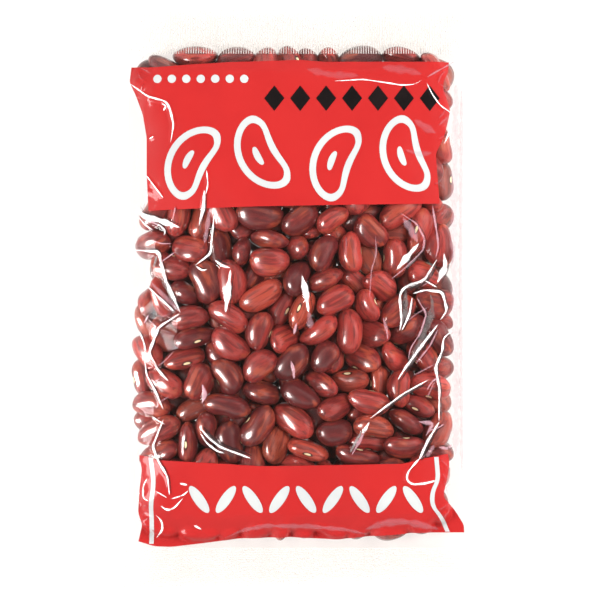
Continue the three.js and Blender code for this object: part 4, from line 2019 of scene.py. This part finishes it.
@dataclass
class Print:
    """The plain figures that are printed on the red fields, in white and in black."""

    panel: Panel
    pitch: float = 0.6
    lift: float = 0.20
    beans: tuple[Triple, ...] = (
        (-39.5, 50.5, 62.0), (-14.5, 51.5, 118.0), (12.0, 50.0, 70.0), (37.0, 51.5, 108.0),
    )
    bean_halves: tuple[Point, ...] = ((14.4, 7.4), (12.0, 5.0), (3.6, 1.2))
    bean_bend: float = 13.0
    dots: Row = Row(-50.5, 79.4, 5.2, 7)
    dot_half: Point = (1.5, 1.5)
    ovals: Row = Row(-35.5, -71.6, 9.6, 9)
    oval_half: Point = (5.8, 1.9)
    oval_turns: Point = (125.0, 55.0)
    lozenges: Row = Row(-8.5, 72.4, 9.3, 7)
    lozenge_half: Point = (3.6, 4.6)
    rule_width: float = 1.6
    rules: tuple[tuple[Point, ...], ...] = (
        ((-52.9, -56.6), (-51.8, -65.5), (-52.9, -73.8), (-52.6, -81.0), (-52.9, -88.0)),
        ((49.7, -56.4), (50.4, -64.4), (48.2, -69.1), (48.2, -73.8), (51.8, -78.5), (54.0, -83.6)),
    )

    def white_figures(self) -> list[list[Array]]:
        """Draw the white figures.

        Returns:
            Each figure as its outline and its holes.
        """
        figures: list[list[Array]] = []
        for x, y, turn in self.beans:
            skin, hole, core = (kidney((x, y), half, turn, self.bean_bend) for half in self.bean_halves)
            figures += [[skin, hole], [core]]
        figures += [[ellipse(middle, self.dot_half, 0.0)] for middle in self.dots.middles()]
        for i, middle in enumerate(self.ovals.middles()):
            figures.append([ellipse(middle, self.oval_half, self.oval_turns[i % 2])])
        return figures + [[ribbon(rule, self.rule_width)] for rule in self.rules]

    def black_figures(self) -> list[list[Array]]:
        """Draw the black figures.

        Returns:
            Each figure as its outline.
        """
        lozenge = np.array([(1, 0), (0, 1), (-1, 0), (0, -1)]) * self.lozenge_half
        return [[lozenge + middle] for middle in self.lozenges.middles()]

    def build(self) -> list[Piece]:
        """Make one piece for each colour.

        Returns:
            The pieces.
        """
        white = PrintedInk("white_ink", (0.385, 0.39, 0.38), (0.355, 0.355, 0.355)).material()
        black = PrintedInk("black_ink", (0.004, 0.003, 0.003), (0.008, 0.005, 0.005), coat=0.05).material()
        return [
            self._stamp("print_white", self.white_figures(), white),
            self._stamp("print_black", self.black_figures(), black),
        ]

    def _stamp(self, name: str, figures: list[list[Array]], material: Finish) -> Piece:
        """Fill figures with small triangles and lay them on the panel.

        Args:
            name: The piece's name.
            figures: The figures.
            material: Their ink.

        Returns:
            The piece.
        """
        flat, corners = MeshMaker.joined([self._filled(loops) for loops in figures])
        z = self.panel.height(flat[:, 0], flat[:, 1]) + self.lift
        return MeshMaker().build(name, np.column_stack([flat, z]), corners, material)

    def _filled(self, loops: list[Array]) -> Pair:
        """Cut one figure into triangles.

        Args:
            loops: Its outline and its holes.

        Returns:
            The flat points and the triangles.
        """
        loops = [self._stepped(loop) for loop in loops]
        low, high = loops[0].min(0), loops[0].max(0)
        grid = np.meshgrid(*(np.arange(low[i], high[i], self.pitch) for i in (0, 1)))
        inner = np.stack([axis.ravel() for axis in grid], -1)
        edge = np.concatenate(loops)
        gap = np.linalg.norm(inner[:, None, :] - edge[None, :, :], axis=-1).min(1)
        inner = inner[self._inside(inner, loops) & (gap > 0.45 * self.pitch)]
        sides: list[tuple[int, int]] = []
        first = 0
        for loop in loops:
            sides += [(first + i, first + (i + 1) % len(loop)) for i in range(len(loop))]
            first += len(loop)
        coords = [Vector(point) for point in np.concatenate([edge, inner]).tolist()]
        made = delaunay_2d_cdt(coords, sides, [], 1, 1e-5)
        flat = np.array([tuple(point) for point in made[0]])
        corners = np.array([face for face in made[2] if len(face) == 3])
        keep = self._inside(flat[corners].mean(1), loops)
        return flat, corners[keep]

    def _stepped(self, loop: Array) -> Array:
        """Add points along a loop's long sides.

        Args:
            loop: The loop's points.

        Returns:
            The same loop with a point at about every pitch.
        """
        following = np.roll(loop, -1, axis=0)
        steps = [
            start + (end - start) * np.arange(count)[:, None] / count
            for start, end in zip(loop, following)
            for count in [max(1, int(math.dist(start, end) / self.pitch))]
        ]
        return np.concatenate(steps)

    @staticmethod
    def _inside(points: Array, loops: list[Array]) -> Array:
        """Tell which points are inside a figure.

        Args:
            points: The points.
            loops: The figure's outline and its holes.

        Returns:
            True for each point inside the outline and outside the holes.
        """
        odd = np.zeros(len(points), bool)
        for loop in loops:
            start, end = loop, np.roll(loop, -1, axis=0)
            over = (start[:, 1][None] > points[:, 1][:, None]) != (end[:, 1][None] > points[:, 1][:, None])
            rise = np.where(end[:, 1] == start[:, 1], 1e-9, end[:, 1] - start[:, 1])
            cut = start[:, 0] + (points[:, 1][:, None] - start[:, 1]) * (end[:, 0] - start[:, 0]) / rise
            odd ^= (over & (points[:, 0][:, None] < cut)).sum(1) % 2 == 1
        return odd


@dataclass
class PrintedBands:
    """The two red fields and the figures on them."""

    panel: Panel
    pitch: float = 0.45
    lift: float = 0.10

    def build(self) -> list[Piece]:
        """Make the red fields, head first, and then the figures.

        Returns:
            The pieces.
        """
        red = PrintedInk("red_ink", (0.318, 0.0138, 0.0130), (0.299, 0.0124, 0.0120)).material()
        pieces: list[Piece] = []
        for ink in (HEAD_FIELD, FOOT_FIELD):
            x, y = ink.grid(self.pitch)
            pieces.append(MeshMaker().sheet(ink.name, [x, y, self.panel.height(x, y) + self.lift], red))
        return pieces + Print(self.panel).build()


@dataclass(frozen=True)
class Softbox:
    """A soft lamp that faces the bag: its place and its size in metres, and its power in watts.

    It may show in gloss, it may light what isn't glossy, or both.
    """

    name: str
    place: Triple
    size: Point
    watts: float
    in_gloss: bool = False
    on_matt: bool = True

    def hang(self) -> None:
        """Hang the lamp."""
        lamp = bpy.data.lights.new(self.name, "AREA")
        lamp.shape, lamp.energy = "RECTANGLE", self.watts
        lamp.size, lamp.size_y = self.size
        box = bpy.data.objects.new(self.name, lamp)
        box.location = self.place
        box.rotation_euler = (-Vector(self.place)).to_track_quat("-Z", "Y").to_euler()
        box.visible_glossy, box.visible_diffuse = self.in_gloss, self.on_matt
        bpy.context.scene.collection.objects.link(box)


@dataclass
class Studio:
    """The floor, the lights, the room and the camera."""

    lamps: tuple[Softbox, ...] = (
        Softbox("key", (-1.38, -0.42, 0.98), (0.7, 1.2), 50.0),
        Softbox("streak", (-1.42, -0.44, 0.80), (0.75, 1.4), 114.0, in_gloss=True, on_matt=False),
        Softbox("fill", (1.3, 0.3, 0.9), (1.0, 1.6), 61.0),
        Softbox("head", (0.1, 1.3, 1.1), (1.2, 0.3), 7.0),
    )
    frame_width: float = 216.0
    look_at: Triple = (0.72, 0.0, 10.0)
    distance: float = 1600.0
    sensor: float = 36.0
    floor_half: float = 4000.0
    floor_pale: Color = (0.25, 0.25, 0.25)
    floor_grey: Color = (0.23, 0.23, 0.23)
    floor_cloud: float = 0.02
    overhead: Point = (0.55, 1.0)
    rightward: Point = (0.1, 0.8)
    white: Color = (1.0, 1.0, 1.0)
    zenith: float = 0.20
    horizon: float = 0.85
    right_flag: float = 0.4
    floor_glow: float = 0.85

    def build(self) -> None:
        """Set up the studio."""
        self._floor()
        self._room()
        for lamp in self.lamps:
            lamp.hang()
        self._camera()

    def _floor(self) -> None:
        """Lay a plain pale floor."""
        bench = NodeBench.fresh("floor")
        noise = bench.add("ShaderNodeTexNoise", Scale=3.0).outputs[0]
        cloud = bench.maths("MULTIPLY", noise, self.floor_cloud)
        ground = bench.add(
            "ShaderNodeBsdfPrincipled", Roughness=0.9,
            Emission_Color=self.white, Emission_Strength=self.floor_glow,
            Base_Color=bench.blend(cloud, self.floor_pale, self.floor_grey),
        )
        corners = np.array([(-1, -1, 0), (1, -1, 0), (1, 1, 0), (-1, 1, 0)]) * self.floor_half
        faces = np.array([(0, 1, 2, 3)])
        MeshMaker(smooth=False).build("floor", corners, faces, bench.finish(ground))

    def _room(self) -> None:
        """Light the room softly, brighter towards the walls than overhead, and dimmer to the right."""
        world = bpy.data.worlds.new("room")
        world.use_nodes = True
        bench = NodeBench(world.node_tree)
        x, _, z = bench.split(bench.where("Generated"))
        strength = bench.add("ShaderNodeMapRange", Value=bench.ramp(z, *self.overhead))
        strength.inputs["To Min"].default_value = self.horizon
        strength.inputs["To Max"].default_value = self.zenith
        flagged = bench.maths("MULTIPLY", bench.ramp(x, *self.rightward), self.right_flag)
        dimmed = bench.maths("MULTIPLY", strength.outputs[0], bench.maths("SUBTRACT", 1.0, flagged))
        background = world.node_tree.nodes["Background"]
        for slot, value in zip(background.inputs, (self.white, dimmed)):
            bench.feed(slot, value)
        bpy.context.scene.world = world

    def _camera(self) -> None:
        """Look straight down on the bag from far off."""
        lens = bpy.data.cameras.new("camera")
        lens.sensor_width = self.sensor
        lens.lens = self.sensor * self.distance / self.frame_width
        camera = bpy.data.objects.new("camera", lens)
        x, y, z = self.look_at
        camera.location = (x * MM, y * MM, (z + self.distance) * MM)
        bpy.context.scene.collection.objects.link(camera)
        bpy.context.scene.camera = camera
        bpy.context.scene.view_settings.view_transform = "Standard"


def dress(pieces: list[Piece]) -> None:
    """Let pieces ride on the bag and log how many faces each has.

    Args:
        pieces: The pieces.
    """
    for piece in pieces:
        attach(piece, BODY)
        LOG.info("%s: %d faces", piece.name, len(piece.data.polygons))


def main() -> None:
    """Build the bag and its studio and report each piece."""
    logging.basicConfig(level=logging.INFO, format="%(name)s: %(message)s")
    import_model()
    plan = BagPlan()
    heap = BeanHeap(plan)
    beans = heap.build()
    dress(beans)
    for piece in beans:
        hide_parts("beans")
    draper = Draper(plan)
    folds = LEFT_FOLDS + MIDDLE_FOLDS + RIGHT_FOLDS + BAND_FOLDS + SmallFolds(plan).folds()
    front = Panel(draper.drape(heap.tree, Side.FRONT), folds, SealRibs())
    back = Panel(draper.drape(heap.tree, Side.BACK))
    film = FilmBag(plan, front, back).build() + CreaseLines(front, folds, GREY_SHADE_FOLDS).build()
    dress(film)
    for piece in film:
        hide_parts("film_seals")
    bands = PrintedBands(front).build()
    dress(bands)
    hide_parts("print_band_head")
    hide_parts("print_band_foot")
    Studio().build()


if __name__ == "__main__":
    main()
